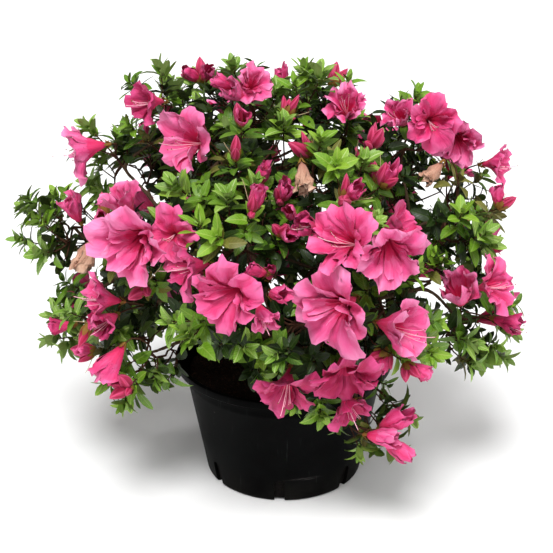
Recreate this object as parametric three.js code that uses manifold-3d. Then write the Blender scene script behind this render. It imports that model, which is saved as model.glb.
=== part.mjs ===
// A potted azalea shrub: a squat round nursery pot with drainage slots, its root ball of peat, a short
// flared trunk, main boughs and side boughs, and the crown as a shell of uneven foliage masses.
// Millimetres, +Z up. The origin is the centre of the pot's flat underside, and -Y is the front.
import * as THREE from "three";
import { mergeVertices } from "three/addons/utils/BufferGeometryUtils.js";
import Module from "manifold-3d";

const wasm = await Module();
wasm.setup();

// Pot
const POT_HEIGHT = 133;
const POT_BASE_RADIUS = 84;
const POT_CORNER = 5;
const POT_WALL_TOP_RADIUS = 106;
const POT_WALL = 2.2;
const POT_FLOOR = 2.5;
const LIP_RADIUS = 115;
const LIP_HEIGHT = 9;
const LIP_ROUND = 1.5;
const LIP_TOP_WIDTH = 4;
const POT_SEGMENTS = 42;
const SLOT_COUNT = 7;
const SLOT_WIDTH = 11;
const SLOT_HEIGHT = 28;
const SLOT_DEPTH = 13;
const FIRST_SLOT = THREE.MathUtils.degToRad(-93.5); // just left of the front

// Root ball
const SOIL_TOP = 116;
const BALL_CORNER = 4;
const FIT_GAP = 0.4;

// Trunk and boughs
const TRUNK_HEIGHT = 36;
const TRUNK_RADIUS = 8.5;
const FLARE_RADIUS = 15;
const KNUCKLE_RADIUS = 10.5;
const TRUNK_LEAN = new THREE.Vector2(-5, 3);
const TRUNK_BEND = 0.6; // the share of its height that stays upright before it leans
const KNUCKLE_ROUND_FROM = 0.85;
const KNUCKLE_TOP = 0.55; // radius of the knuckle's flat top, as a share of its own
const TRUNK_SIDES = 12;
const TRUNK_STEPS = 9;
const BOUGH_SIDES = 6;
const BOUGH_STEPS = 7;
const BOUGH_RADIUS = 3.9;
const BOUGH_TIP_RADIUS = 2.2;
const SIDE_RADIUS = 2.7;
const SIDE_TIP_RADIUS = 1.6;
const BOUGH_RISES = [88, 4]; // neighbouring main boughs leave the knuckle high and low in turn
const BOUGH_AIM = 0.3; // how much of the height of its mass a bough already aims at where it starts
const BOUGH_BEND = 0.4; // where along its way a bough turns towards its mass
const SIDE_START = 0.42;
const SIDE_SPACING = 0.28;
const SIDE_ANGLE = THREE.MathUtils.degToRad(55);
const ENTRY_GAP = 3;

// Crown. Every mass is placed by its direction from the crown's centre and by how far its outermost
// leaves reach along it.
const CROWN_CENTRE = new THREE.Vector3(-12, 0, 215);
const MASS_DETAIL = 2;
const MASS_GAP = 2.5;
const MASS_DEPTH = 1.55; // from the outermost leaves back to the hollow middle, in lump radii
const UNEVENNESS = 0.13;
const SEED = 11;

// The front half's masses, tier by tier: azimuth and elevation in degrees, then reach and lump radius.
// Azimuth 0 is +X, the right, and -90 is the front.
const FRONT_MASSES = {
  crest_front: [-112, 79, 212, 56],
  crest_left: [128, 73, 236, 52],
  crest_right: [38, 71, 232, 54],
  upper_left: [176, 59, 258, 44],
  upper_front_left: [-124, 54, 212, 54],
  upper_front_right: [-52, 56, 214, 58],
  upper_right: [5, 46, 262, 51],
  shoulder_left: [180, 40, 256, 42],
  shoulder_front_left: [-142, 29, 228, 58],
  shoulder_front: [-106, 35, 220, 56],
  shoulder_front_right: [-65, 30, 242, 60],
  shoulder_right: [-7, 25, 268, 56],
  waist_left: [179, 16, 277, 47],
  waist_front_left: [-157, 3, 228, 50],
  waist_front: [-106, 12, 226, 56],
  waist_front_right: [-75, 9, 236, 58],
  waist_right_front: [-50, 8, 234, 54],
  waist_right: [-18, 7, 240, 54],
  skirt_left: [-174, -8, 248, 43],
  skirt_front_left: [-148, -16, 220, 46],
  skirt_front: [-102, -5, 180, 40],
  skirt_front_right: [-72, -17, 200, 44],
  hanging_spray: [-52, -32, 232, 40],
  skirt_right: [-9, -8, 270, 54],
};

// The back half's masses stand evenly round each tier, with a seeded change of reach.
const BACK_TIERS = [
  { name: "upper_back", elevation: 50, from: 72, to: 128, count: 2, reach: 238, lump: 62 },
  { name: "shoulder_back", elevation: 27, from: 32, to: 150, count: 4, reach: 244, lump: 64 },
  { name: "waist_back", elevation: 5, from: 18, to: 146, count: 4, reach: 240, lump: 66 },
  { name: "skirt_back", elevation: -17, from: 34, to: 150, count: 4, reach: 238, lump: 54 },
];
const REACH_CHANGE = 14;
const ELEVATION_CHANGE = 3;

// Main boughs run from the trunk into the first mass named. Side boughs leave the main one at an even
// spacing along it and run into the masses that follow.
const BOUGHS = {
  bough_left: ["waist_left", "shoulder_left", "skirt_left"],
  bough_front_left: ["shoulder_front_left", "skirt_front_left", "waist_front_left"],
  bough_front: ["waist_front", "shoulder_front", "skirt_front"],
  bough_front_right: ["waist_right_front", "shoulder_front_right", "waist_front_right"],
  bough_right: ["waist_right", "shoulder_right"],
  bough_back_right: ["shoulder_back_1", "waist_back_1"],
  bough_back_left: ["shoulder_back_3", "waist_back_3"],
};

const LEAF = new THREE.MeshStandardMaterial({ color: 0x5f8f38, roughness: 0.55, metalness: 0 });
const BARK = new THREE.MeshStandardMaterial({ color: 0x4b382b, roughness: 0.85, metalness: 0 });
const PEAT = new THREE.MeshStandardMaterial({ color: 0x2b1f18, roughness: 0.95, metalness: 0 });
const POT_PLASTIC = new THREE.MeshStandardMaterial({ color: 0x141616, roughness: 0.45, metalness: 0 });

function randomFrom(seed) {
  let state = seed;
  return () => {
    state = (state + 0x6d2b79f5) | 0;
    let t = Math.imul(state ^ (state >>> 15), 1 | state);
    t = (t + Math.imul(t ^ (t >>> 7), 61 | t)) ^ t;
    return ((t ^ (t >>> 14)) >>> 0) / 4294967296;
  };
}

function direction(azimuth, elevation) {
  const a = THREE.MathUtils.degToRad(azimuth);
  const e = THREE.MathUtils.degToRad(elevation);
  return new THREE.Vector3(Math.cos(e) * Math.cos(a), Math.cos(e) * Math.sin(a), Math.sin(e));
}

function positionsOnly(geometry) {
  geometry.deleteAttribute("normal");
  geometry.deleteAttribute("uv");
  return mergeVertices(geometry, 1e-3);
}

function named(name, geometry, material) {
  geometry.computeVertexNormals();
  const mesh = new THREE.Mesh(geometry, material);
  mesh.name = name;
  return mesh;
}

function toManifold(geometry) {
  const merged = positionsOnly(geometry);
  return new wasm.Manifold(
    new wasm.Mesh({
      numProp: 3,
      vertProperties: new Float32Array(merged.attributes.position.array),
      triVerts: new Uint32Array(merged.index.array),
    }),
  );
}

function fromManifold(solid) {
  const mesh = solid.getMesh();
  return new THREE.BufferGeometry()
    .setAttribute("position", new THREE.BufferAttribute(mesh.vertProperties, 3))
    .setIndex(new THREE.BufferAttribute(mesh.triVerts, 1));
}

// A profile of [radius, height] pairs turned round the Z axis.
function turned(profile) {
  const points = profile.map(([radius, height]) => new THREE.Vector2(radius, height));
  return new THREE.LatheGeometry(points, POT_SEGMENTS).rotateX(Math.PI / 2);
}

function potWallRadius(height) {
  const share = (height - POT_CORNER) / (POT_HEIGHT - LIP_HEIGHT - POT_CORNER);
  return THREE.MathUtils.lerp(POT_BASE_RADIUS, POT_WALL_TOP_RADIUS, share);
}

function pot() {
  const underLip = POT_HEIGHT - LIP_HEIGHT;
  const shell = toManifold(
    turned([
      [0, 0],
      [POT_BASE_RADIUS - POT_CORNER, 0],
      [POT_BASE_RADIUS - LIP_ROUND, LIP_ROUND],
      [POT_BASE_RADIUS, POT_CORNER],
      [POT_WALL_TOP_RADIUS, underLip],
      [LIP_RADIUS - LIP_ROUND, underLip + LIP_ROUND * 2],
      [LIP_RADIUS, POT_HEIGHT - LIP_ROUND],
      [LIP_RADIUS - LIP_ROUND, POT_HEIGHT],
      [LIP_RADIUS - LIP_TOP_WIDTH, POT_HEIGHT - FIT_GAP],
      [POT_WALL_TOP_RADIUS - POT_WALL, underLip],
      [POT_BASE_RADIUS - POT_WALL, POT_FLOOR + POT_CORNER],
      [POT_BASE_RADIUS - POT_CORNER - POT_WALL, POT_FLOOR],
      [0, POT_FLOOR],
    ]),
  );
  const slots = Array.from({ length: SLOT_COUNT }, (_, i) => {
    const cutter = new THREE.BoxGeometry(SLOT_DEPTH * 2, SLOT_WIDTH, SLOT_HEIGHT * 2);
    cutter.translate(POT_BASE_RADIUS, 0, 0).rotateZ(FIRST_SLOT + (i / SLOT_COUNT) * 2 * Math.PI);
    return toManifold(cutter);
  });
  return named("pot", fromManifold(slots.reduce((s, slot) => s.subtract(slot), shell)), POT_PLASTIC);
}

function rootBall() {
  const bottom = POT_FLOOR + FIT_GAP;
  const geometry = turned([
    [0, bottom],
    [POT_BASE_RADIUS - POT_CORNER - BALL_CORNER, bottom],
    [POT_BASE_RADIUS - POT_WALL - FIT_GAP * 2, POT_FLOOR + POT_CORNER + POT_WALL],
    [potWallRadius(SOIL_TOP) - POT_WALL - FIT_GAP * 2, SOIL_TOP],
    [0, SOIL_TOP],
  ]);
  return named("root_ball", positionsOnly(geometry), PEAT);
}

// A closed tapering limb: a cylinder bent along the path, with its radius read from radiusAt(share).
function limb(name, path, radiusAt, sides, steps) {
  const geometry = new THREE.CylinderGeometry(1, 1, 1, sides, steps);
  const frames = path.computeFrenetFrames(steps, false);
  const position = geometry.attributes.position;
  for (let i = 0; i < position.count; i++) {
    const step = Math.round((position.getY(i) + 0.5) * steps);
    const radius = radiusAt(step / steps);
    const vertex = path
      .getPointAt(step / steps)
      .addScaledVector(frames.normals[step], position.getX(i) * radius)
      .addScaledVector(frames.binormals[step], -position.getZ(i) * radius);
    position.setXYZ(i, vertex.x, vertex.y, vertex.z);
  }
  return named(name, positionsOnly(geometry), BARK);
}

const GROUND = new THREE.Vector3(0, 0, SOIL_TOP + FIT_GAP);
const KNUCKLE = new THREE.Vector3(TRUNK_LEAN.x, TRUNK_LEAN.y, GROUND.z + TRUNK_HEIGHT);

// The trunk flares to its flat cut on the soil and swells into the knuckle where the boughs start.
function trunk() {
  const bend = GROUND.clone().setZ(GROUND.z + TRUNK_HEIGHT * TRUNK_BEND);
  const path = new THREE.QuadraticBezierCurve3(GROUND, bend, KNUCKLE);
  const radiusAt = (share) => {
    const flare = (FLARE_RADIUS - TRUNK_RADIUS) * Math.pow(1 - share, 4);
    const swell = (KNUCKLE_RADIUS - TRUNK_RADIUS) * Math.pow(share, 3);
    const rounding = Math.max(0, share - KNUCKLE_ROUND_FROM) / (1 - KNUCKLE_ROUND_FROM);
    return (TRUNK_RADIUS + flare + swell) * THREE.MathUtils.lerp(1, KNUCKLE_TOP, rounding);
  };
  return limb("trunk", path, radiusAt, TRUNK_SIDES, TRUNK_STEPS);
}

// Where each mass stands, and the half-spaces that keep it clear of its neighbours, of the hollow
// middle of the crown and of the pot.
function layOutMasses() {
  const random = randomFrom(SEED);
  const rows = Object.entries(FRONT_MASSES).map(([name, [azimuth, elevation, reach, lump]]) => ({
    name,
    azimuth,
    elevation,
    reach,
    lump,
  }));
  for (const tier of BACK_TIERS) {
    for (let i = 0; i < tier.count; i++) {
      const share = i / (tier.count - 1);
      rows.push({
        name: `${tier.name}_${i + 1}`,
        azimuth: THREE.MathUtils.lerp(tier.from, tier.to, share),
        elevation: tier.elevation + ELEVATION_CHANGE * (2 * random() - 1),
        reach: tier.reach + REACH_CHANGE * (2 * random() - 1),
        lump: tier.lump,
      });
    }
  }
  for (const row of rows) {
    row.out = direction(row.azimuth, row.elevation);
    row.centre = CROWN_CENTRE.clone().addScaledVector(row.out, row.reach - row.lump);
  }
  for (const row of rows) row.planes = halfSpaces(row, rows);
  return new Map(rows.map((row) => [row.name, row]));
}

// Each plane is kept as its outward normal and its distance from the mass's centre.
function halfSpaces(row, rows) {
  const planes = [];
  for (const other of rows) {
    if (other === row) continue;
    const between = other.centre.clone().sub(row.centre);
    const span = between.length();
    const share = (span * span + row.lump ** 2 - other.lump ** 2) / (2 * span);
    planes.push({ normal: between.divideScalar(span), distance: share - MASS_GAP / 2 });
  }
  planes.push({ normal: row.out.clone().negate(), distance: row.lump * (MASS_DEPTH - 1) });
  planes.push(potPlane(row.centre));
  return planes;
}

function potPlane(centre) {
  const radius = Math.hypot(centre.x, centre.y);
  const reach = Math.min(1, LIP_RADIUS / radius);
  const nearest = new THREE.Vector3(centre.x * reach, centre.y * reach, Math.min(centre.z, POT_HEIGHT));
  const normal = nearest.sub(centre);
  const distance = normal.length();
  return { normal: normal.divideScalar(distance), distance: distance - MASS_GAP };
}

// How far the mass reaches from its centre along a unit vector.
function massRadius(row, along) {
  let radius = row.lump * (1 + UNEVENNESS * ripple(row, along));
  for (const { normal, distance } of row.planes) {
    const facing = along.dot(normal);
    if (facing > 1e-6) radius = Math.min(radius, distance / facing);
  }
  return radius;
}

// A smooth unevenness from -1 to 1 that differs from mass to mass.
function ripple(row, along) {
  const phase = row.azimuth * 0.7 + row.elevation * 1.3;
  return (
    0.5 * Math.sin(4.1 * along.x + 2.3 * along.z + phase) +
    0.5 * Math.sin(5.3 * along.y - 3.7 * along.z + 1.9 * phase)
  );
}

function foliageMass(row) {
  const geometry = positionsOnly(new THREE.IcosahedronGeometry(1, MASS_DETAIL));
  const position = geometry.attributes.position;
  const along = new THREE.Vector3();
  for (let i = 0; i < position.count; i++) {
    along.fromBufferAttribute(position, i).normalize();
    const vertex = row.centre.clone().addScaledVector(along, massRadius(row, along));
    position.setXYZ(i, vertex.x, vertex.y, vertex.z);
  }
  return named(row.name, geometry, LEAF);
}

// A path that leaves start along heading and ends just inside the near face of a mass.
function pathInto(row, start, heading) {
  const span = start.distanceTo(row.centre);
  const bend = start.clone().addScaledVector(heading, span * BOUGH_BEND);
  const back = bend.clone().sub(row.centre).normalize();
  const end = row.centre.clone().addScaledVector(back, massRadius(row, back) + ENTRY_GAP);
  return new THREE.QuadraticBezierCurve3(start, bend, end);
}

function taper(from, to) {
  return (share) => THREE.MathUtils.lerp(from, to, share);
}

function boughs(masses) {
  const made = [];
  Object.entries(BOUGHS).forEach(([name, [target, ...sideTargets]], order) => {
    const aim = masses.get(target).centre.clone().sub(KNUCKLE);
    const heading = aim.setZ(aim.z * BOUGH_AIM + BOUGH_RISES[order % 2]).normalize();
    const start = KNUCKLE.clone().addScaledVector(heading, KNUCKLE_RADIUS + FIT_GAP);
    const main = pathInto(masses.get(target), start, heading);
    made.push(limb(name, main, taper(BOUGH_RADIUS, BOUGH_TIP_RADIUS), BOUGH_SIDES, BOUGH_STEPS));
    sideTargets.forEach((sideTarget, i) => {
      const share = SIDE_START + SIDE_SPACING * i;
      made.push(sideBough(`${name}_side_${i + 1}`, main, share, masses.get(sideTarget)));
    });
  });
  return made;
}

// A side bough starts on the surface of its parent, at an angle to it, and bends towards its mass.
function sideBough(name, parent, share, row) {
  const root = parent.getPointAt(share);
  const along = parent.getTangentAt(share);
  const aside = row.centre.clone().sub(root);
  aside.addScaledVector(along, -aside.dot(along)).normalize();
  const cosine = Math.cos(SIDE_ANGLE);
  const sine = Math.sin(SIDE_ANGLE);
  const heading = along.multiplyScalar(cosine).addScaledVector(aside, sine);
  const parentRadius = THREE.MathUtils.lerp(BOUGH_RADIUS, BOUGH_TIP_RADIUS, share);
  const clear = (parentRadius + FIT_GAP + SIDE_RADIUS * cosine) / sine;
  const start = root.clone().addScaledVector(heading, clear);
  const path = pathInto(row, start, heading);
  return limb(name, path, taper(SIDE_RADIUS, SIDE_TIP_RADIUS), BOUGH_SIDES, BOUGH_STEPS);
}

const masses = layOutMasses();
const azalea = new THREE.Group();
azalea.add(pot(), rootBall(), trunk(), ...boughs(masses));
for (const row of masses.values()) azalea.add(foliageMass(row));

export default azalea;
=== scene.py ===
import math

import bpy
import numpy as np
from mathutils import Euler, Matrix, Quaternion, Vector, noise
from mathutils.bvhtree import BVHTree


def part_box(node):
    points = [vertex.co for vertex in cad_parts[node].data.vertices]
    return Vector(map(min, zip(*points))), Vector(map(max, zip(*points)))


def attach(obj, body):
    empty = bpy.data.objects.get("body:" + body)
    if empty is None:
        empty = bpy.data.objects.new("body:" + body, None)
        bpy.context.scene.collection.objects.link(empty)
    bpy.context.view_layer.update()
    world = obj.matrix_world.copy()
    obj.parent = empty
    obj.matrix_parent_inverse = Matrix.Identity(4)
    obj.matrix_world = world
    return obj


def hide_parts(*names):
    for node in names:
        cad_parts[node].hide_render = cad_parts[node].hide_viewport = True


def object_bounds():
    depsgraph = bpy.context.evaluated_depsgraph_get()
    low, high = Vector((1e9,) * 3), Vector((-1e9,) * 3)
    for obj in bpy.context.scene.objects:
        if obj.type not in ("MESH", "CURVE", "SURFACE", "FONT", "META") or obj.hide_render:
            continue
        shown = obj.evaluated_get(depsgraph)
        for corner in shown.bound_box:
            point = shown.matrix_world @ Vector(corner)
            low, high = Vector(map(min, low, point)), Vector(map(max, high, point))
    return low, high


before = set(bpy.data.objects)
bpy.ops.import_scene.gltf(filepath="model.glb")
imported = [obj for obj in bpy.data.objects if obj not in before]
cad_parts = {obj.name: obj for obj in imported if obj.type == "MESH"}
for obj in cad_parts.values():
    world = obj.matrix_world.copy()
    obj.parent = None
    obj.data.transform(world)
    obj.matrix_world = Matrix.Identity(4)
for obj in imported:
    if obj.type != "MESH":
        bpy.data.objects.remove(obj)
CAD_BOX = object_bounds()

# A potted azalea in bloom. Everything is in metres, and MM turns millimetres into metres.
MM = 0.001
# The turn from one leaf of a spiral to the next.
GOLDEN_ANGLE = 2.39996
SEED = 41
UP = Vector((0, 0, 1))
POT_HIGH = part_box("pot")[1]
PEAT_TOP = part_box("root_ball")[1].z
SCRAPE = (19 * MM, 0, 29 * MM)
CROWN_CENTRE = Vector((-12 * MM, 0, POT_HIGH.z + 82 * MM))
LIMBS = sorted(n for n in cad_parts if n.startswith("bough"))
MASSES = sorted(set(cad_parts) - set(LIMBS) - {"trunk", "pot", "root_ball"})

# Blooms that have a place of their own. A place is an azimuth and elevation seen from the crown's
# centre, with azimuth 0 to the right and -90 to the front, and so is the way that a bloom faces.
# Then come its width when fully open, in millimetres, its form and its tone; the deep tone is painted shade
# for blooms that sit in shade under the crown.
BLOOMS = [
    (176, 79, -150, 36, 56, "bell", "light"),
    (150, 84, -72, 34, 56, "full", "light"),
    (170, 76, -170, 30, 44, "bursting", "bright"),
    (-167, 58, -150, 10, 62, "trumpet", "deep"),
    (-150, 60, -132, 16, 92, "open", "light"),
    (-160, 66, -150, 60, 46, "bursting", "bright"),
    (-170, 39, -179, -10, 82, "trumpet", "light"),
    (-172, 25, -165, 66, 58, "bell", "bright"),
    (-139, 36, -150, 62, 70, "bell", "light"),
    (-130, 27, -110, -4, 102, "double", "light"),
    (-124, 32, -104, 16, 58, "open", "bright"),
    (-145, 9, -166, 14, 68, "trumpet", "bright"),
    (-138, 2, -125, -5, 60, "bell", "deep"),
    (-164, -6, -176, -8, 46, "bell", "deep"),
    (-140, -9, -150, -48, 74, "bell", "bright"),
    (-117, 25, -156, 4, 72, "trumpet", "bright"),
    (-101, 19, -124, -6, 90, "double", "bright"),
    (-92, 14, -66, -30, 50, "bell", "light"),
    (-88, 20, -50, 20, 44, "bursting", "bright"),
    (-95, 26, -155, 24, 38, "bursting", "deep"),
    (-91, 26, -100, 62, 34, "bursting", "deep"),
    (-80, 36, -128, 14, 56, "bell", "deep"),
    (-73, 31, -134, 26, 86, "double", "bright"),
    (-62, 26, -86, -20, 90, "double", "light"),
    (-50, 32, -18, 38, 74, "bell", "bright"),
    (-76, 15, -130, -2, 106, "double", "light"),
    (-58, 9, -44, 8, 96, "trumpet", "light"),
    (-70, -6, -92, -36, 92, "double", "deep"),
    (-86, -13, -104, -36, 76, "open", "deep"),
    (-66, -18, -64, -30, 62, "trumpet", "deep"),
    (-8, 69, -98, 44, 66, "full", "light"),
    (-10, 56, -124, 38, 62, "bell", "light"),
    (-12, 49, -84, 12, 70, "double", "bright"),
    (-5, 40, -88, -8, 68, "double", "light"),
    (-5, 31, -30, 12, 56, "trumpet", "bright"),
    (-31, 10, -110, 52, 84, "bell", "light"),
    (-24, 9, -44, 26, 70, "double", "bright"),
    (-18, -3, -30, -4, 54, "bell", "deep"),
    (-53, -17, -20, 36, 64, "bursting", "bright"),
    (-57, -25, -24, 4, 56, "bursting", "light"),
    (-60, -21, -84, 12, 32, "bursting", "bright"),
    (-52, -29, -26, -24, 58, "bursting", "bright"),
]
# Wilted ones: place and facing as above, and width.
WILTED = [
    (-168, 13, -160, -60, 58),
    (-76, 52, -80, -50, 48),
    (-14, 39, -150, -42, 46),
    (96, 30, 90, -45, 48),
    (40, 8, 40, -60, 46),
]


def draws(offset):
    return np.random.default_rng(SEED + offset)


def direction(azimuth, elevation):
    a, e = math.radians(azimuth), math.radians(elevation)
    return Vector((math.cos(e) * math.cos(a), math.cos(e) * math.sin(a), math.sin(e)))


def srgb(colour):
    """A colour given in 0 to 255, as the linear numbers that a shader takes."""
    shares = [c / 255 for c in colour]
    return tuple(c / 12.92 if c <= 0.04045 else ((c + 0.055) / 1.055) ** 2.4 for c in shares) + (1.0,)


# ---------------------------------------------------------------------------------- node trees


class Field:
    """A node's output, which can be added, taken away, multiplied and divided as a number can."""

    def __init__(self, maker, socket):
        self.maker = maker
        self.socket = socket

    def __add__(self, other):
        return self.maker.calc("ADD", self, other)

    def __sub__(self, other):
        return self.maker.calc("SUBTRACT", self, other)

    def __rsub__(self, other):
        return self.maker.calc("SUBTRACT", other, self)

    def __mul__(self, other):
        return self.maker.calc("MULTIPLY", self, other)

    def __truediv__(self, other):
        return self.maker.calc("DIVIDE", self, other)

    def spread(self, low, high, to_low=0.0, to_high=1.0):
        """The value, stretched from low..high to to_low..to_high and clamped there."""
        return self.maker.put("ShaderNodeMapRange", {0: self, 1: low, 2: high, 3: to_low, 4: to_high})

    def part(self, axis):
        """One of a vector's three numbers."""
        return self.maker.put("ShaderNodeSeparateXYZ", {0: self}, axis)

    def vector(self, operation, other):
        return self.maker.put("ShaderNodeVectorMath", {0: self, 1: other}, operation=operation)

    def scaled(self, factor):
        return self.maker.put("ShaderNodeVectorMath", {0: self, "Scale": factor}, operation="SCALE")


class Maker:
    """Adds nodes to one tree. An input is a number, a colour, a data-block or a field."""

    def __init__(self, tree):
        self.tree = tree

    def feed(self, socket, value):
        if isinstance(value, Field):
            self.tree.links.new(value.socket, socket)
        else:
            socket.default_value = value

    def put(self, kind, inputs=None, output=0, **settings):
        """A new node's output, or a list of them if output is a list."""
        node = self.tree.nodes.new(kind)
        for key, value in settings.items():
            setattr(node, key, value)
        for key, value in (inputs or {}).items():
            self.feed(node.inputs[key], value)
        if isinstance(output, list):
            return [Field(self, node.outputs[key]) for key in output]
        return Field(self, node.outputs[output])

    def calc(self, operation, *values):
        return self.put("ShaderNodeMath", dict(enumerate(values)), operation=operation)

    def mixed(self, factor, first, second):
        inputs = {0: factor, 6: first, 7: second}
        return self.put("ShaderNodeMix", inputs, 2, data_type="RGBA", blend_type="MIX")

    def noise(self, place, size, detail, output=0, **more):
        inputs = {"Vector": place, "Scale": size, "Detail": detail, **more}
        return self.put("ShaderNodeTexNoise", inputs, output)

    def attribute(self, name, kind="FLOAT"):
        return self.put("GeometryNodeInputNamedAttribute", {"Name": name}, data_type=kind)

    def chance(self, low, high, seed):
        return self.put("FunctionNodeRandomValue", {2: low, 3: high, "Seed": seed}, 1)

    def turned_by(self, rotation, x=0.0, y=0.0, z=0.0):
        """rotation, followed by a turn about its own axes."""
        angles = self.put("ShaderNodeCombineXYZ", {0: x, 1: y, 2: z})
        inputs = {0: rotation, 1: self.put("FunctionNodeEulerToRotation", {0: angles})}
        return self.put("FunctionNodeRotateRotation", inputs, rotation_space="LOCAL")

    def picked(self, points, shapes, **more):
        """One shape of a collection on every point."""
        info = self.put("GeometryNodeCollectionInfo", {0: shapes, 1: True, 2: True})
        inputs = {0: points, "Instance": info, "Pick Instance": True}
        inputs.update({key.replace("_", " "): value for key, value in more.items()})
        return self.put("GeometryNodeInstanceOnPoints", inputs)

    def shaded(self, instances, seed):
        """Gives every instance a random shade."""
        inputs = {0: instances, "Name": "shade", "Value": self.chance(0.0, 1.0, seed)}
        return self.put("GeometryNodeStoreNamedAttribute", inputs, data_type="FLOAT", domain="INSTANCE")

    def moved(self, geometry, offset):
        return self.put("GeometryNodeSetPosition", {0: geometry, "Offset": offset})

    def worn(self, geometry, material, **more):
        """Shades a surface smooth and gives it its material."""
        smooth = self.put("GeometryNodeSetShadeSmooth", {0: geometry})
        return self.put("GeometryNodeSetMaterial", {0: smooth, "Material": material, **more})

    def real(self, geometry):
        return self.put("GeometryNodeRealizeInstances", {0: geometry})


SOCKET_KINDS = {int: "NodeSocketInt", float: "NodeSocketFloat"}


def new_group(name, kind, inputs, outputs):
    """A node group's maker, its inputs by name and its end. An input is its default value or its kind."""
    tree = bpy.data.node_groups.new(name, kind)
    for key, value in inputs.items():
        socket_type = SOCKET_KINDS.get(type(value)) or f"NodeSocket{value}"
        socket = tree.interface.new_socket(key, in_out="INPUT", socket_type=socket_type)
        if type(value) in SOCKET_KINDS:
            socket.default_value = value
    for key in outputs:
        socket_type = "NodeSocketGeometry" if key == "Geometry" else "NodeSocketFloat"
        tree.interface.new_socket(key, in_out="OUTPUT", socket_type=socket_type)
    maker = Maker(tree)
    start = tree.nodes.new("NodeGroupInput").outputs
    return maker, {key: Field(maker, start[key]) for key in inputs}, tree.nodes.new("NodeGroupOutput").inputs


def new_tree(name, **inputs):
    """A geometry tree. Its inputs are named here with _ for each space."""
    named = {"Geometry": "Geometry"}
    named.update({key.replace("_", " "): value for key, value in inputs.items()})
    named["Material"] = "Material"
    return new_group(name, "GeometryNodeTree", named, ["Geometry"])


def whorl_tree():
    """A whorl of leaves round every shoot point. Inner leaves stand up, and outer ones spread."""
    angles = {"Inner_Angle": 0.35, "Outer_Angle": 1.3, "Angle_Change": 0.16}
    sizes = {"Drop": 0.3, "Smallest": 0.55, "Seed": 0}
    m, given, ends = new_tree("leaf_whorls", Shapes="Collection", Shape_Count=4, **angles, **sizes)
    seed = given["Seed"]
    count = m.attribute("leaves", "INT")
    shoots = {0: given["Geometry"], "Amount": count}
    copies, index = m.put("GeometryNodeDuplicateElements", shoots, [0, 1], domain="POINT")
    share = index / count
    around = index * GOLDEN_ANGLE + m.chance(0.0, 0.5, seed)
    opening = share * (given["Outer Angle"] - given["Inner Angle"]) + given["Inner Angle"]
    opening += m.chance(given["Angle Change"] * -1.0, given["Angle Change"], seed)
    shoot = m.put("FunctionNodeEulerToRotation", {0: m.attribute("turn", "FLOAT_VECTOR")})
    turn = m.turned_by(shoot, z=around)
    turn = m.turned_by(turn, y=opening - math.pi / 2)
    turn = m.turned_by(turn, x=m.chance(-0.3, 0.3, seed + 3))
    size = m.attribute("size")
    axis = m.put("FunctionNodeRotateVector", {0: (0.0, 0.0, -1.0), 1: shoot})
    lowered = m.moved(copies, axis.scaled(share * size * given["Drop"]))
    growth = m.calc("POWER", share, 0.6).spread(0.0, 1.0, given["Smallest"], 1.0)
    leaf_size = size * growth * m.chance(0.84, 1.14, seed)
    kind = m.calc("FLOOR", m.chance(0.0, given["Shape Count"] - 0.51, seed + 5))
    leaves = m.picked(lowered, given["Shapes"], Instance_Index=kind, Rotation=turn, Scale=leaf_size)
    m.feed(ends[0], m.worn(m.real(m.shaded(leaves, seed + 9)), given["Material"]))
    return m.tree


def deal_tree():
    """One shape of a collection on every point, picked by kind, then crinkled where it is loose."""
    more = {"Crinkle": 0.0, "Crinkle_Size": 90.0, "Seed": 0, "Inner_Material": "Material"}
    m, given, ends = new_tree("dealt_shapes", Shapes="Collection", **more)
    placed = {"Instance_Index": m.attribute("kind", "INT"), "Scale": m.attribute("size")}
    placed["Rotation"] = m.attribute("turn", "FLOAT_VECTOR")
    shapes = m.real(m.shaded(m.picked(given["Geometry"], given["Shapes"], **placed), given["Seed"]))
    bumps = m.noise(m.put("GeometryNodeInputPosition"), given["Crinkle Size"], 2.0, "Color")
    push = bumps.vector("SUBTRACT", (0.5, 0.5, 0.5)).scaled(given["Crinkle"] * m.attribute("loose"))
    outer = m.worn(m.moved(shapes, push), given["Material"])
    inside = m.calc("GREATER_THAN", m.attribute("inner"), 0.5)
    m.feed(ends[0], m.worn(outer, given["Inner Material"], Selection=inside))
    return m.tree


def rod_tree():
    """A closed round rod along every chain of edges, as thick as its points' girth."""
    m, given, ends = new_tree("rods", Sides=5)
    curve = m.put("GeometryNodeMeshToCurve", {0: given["Geometry"]})
    circle = {"Resolution": given["Sides"], "Radius": 1.0}
    section = m.put("GeometryNodeCurvePrimitiveCircle", circle, mode="RADIUS")
    sweep = {0: curve, "Profile Curve": section, "Scale": m.attribute("girth"), "Fill Caps": True}
    m.feed(ends[0], m.worn(m.real(m.put("GeometryNodeCurveToMesh", sweep)), given["Material"]))
    return m.tree


def scatter_tree():
    """Small lumps strewn over a surface at random."""
    more = {"Density": 60000.0, "Smallest": 0.0008, "Largest": 0.0032, "Seed": 0}
    m, given, ends = new_tree("scattered_lumps", Shapes="Collection", **more)
    strewn = {0: given["Geometry"], "Density": given["Density"], "Seed": given["Seed"]}
    points = m.put("GeometryNodeDistributePointsOnFaces", strewn)
    draw = m.calc("POWER", m.chance(0.0, 1.0, given["Seed"]), 3.0)
    size = draw.spread(0.0, 1.0, given["Smallest"], given["Largest"])
    full = {0: (0, 0, 0), 1: (6.3, 6.3, 6.3)}
    angles = m.put("FunctionNodeRandomValue", full, data_type="FLOAT_VECTOR")
    lumps = m.picked(points, given["Shapes"], Scale=size, Rotation=angles)
    m.feed(ends[0], m.worn(m.real(lumps), given["Material"]))
    return m.tree


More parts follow.
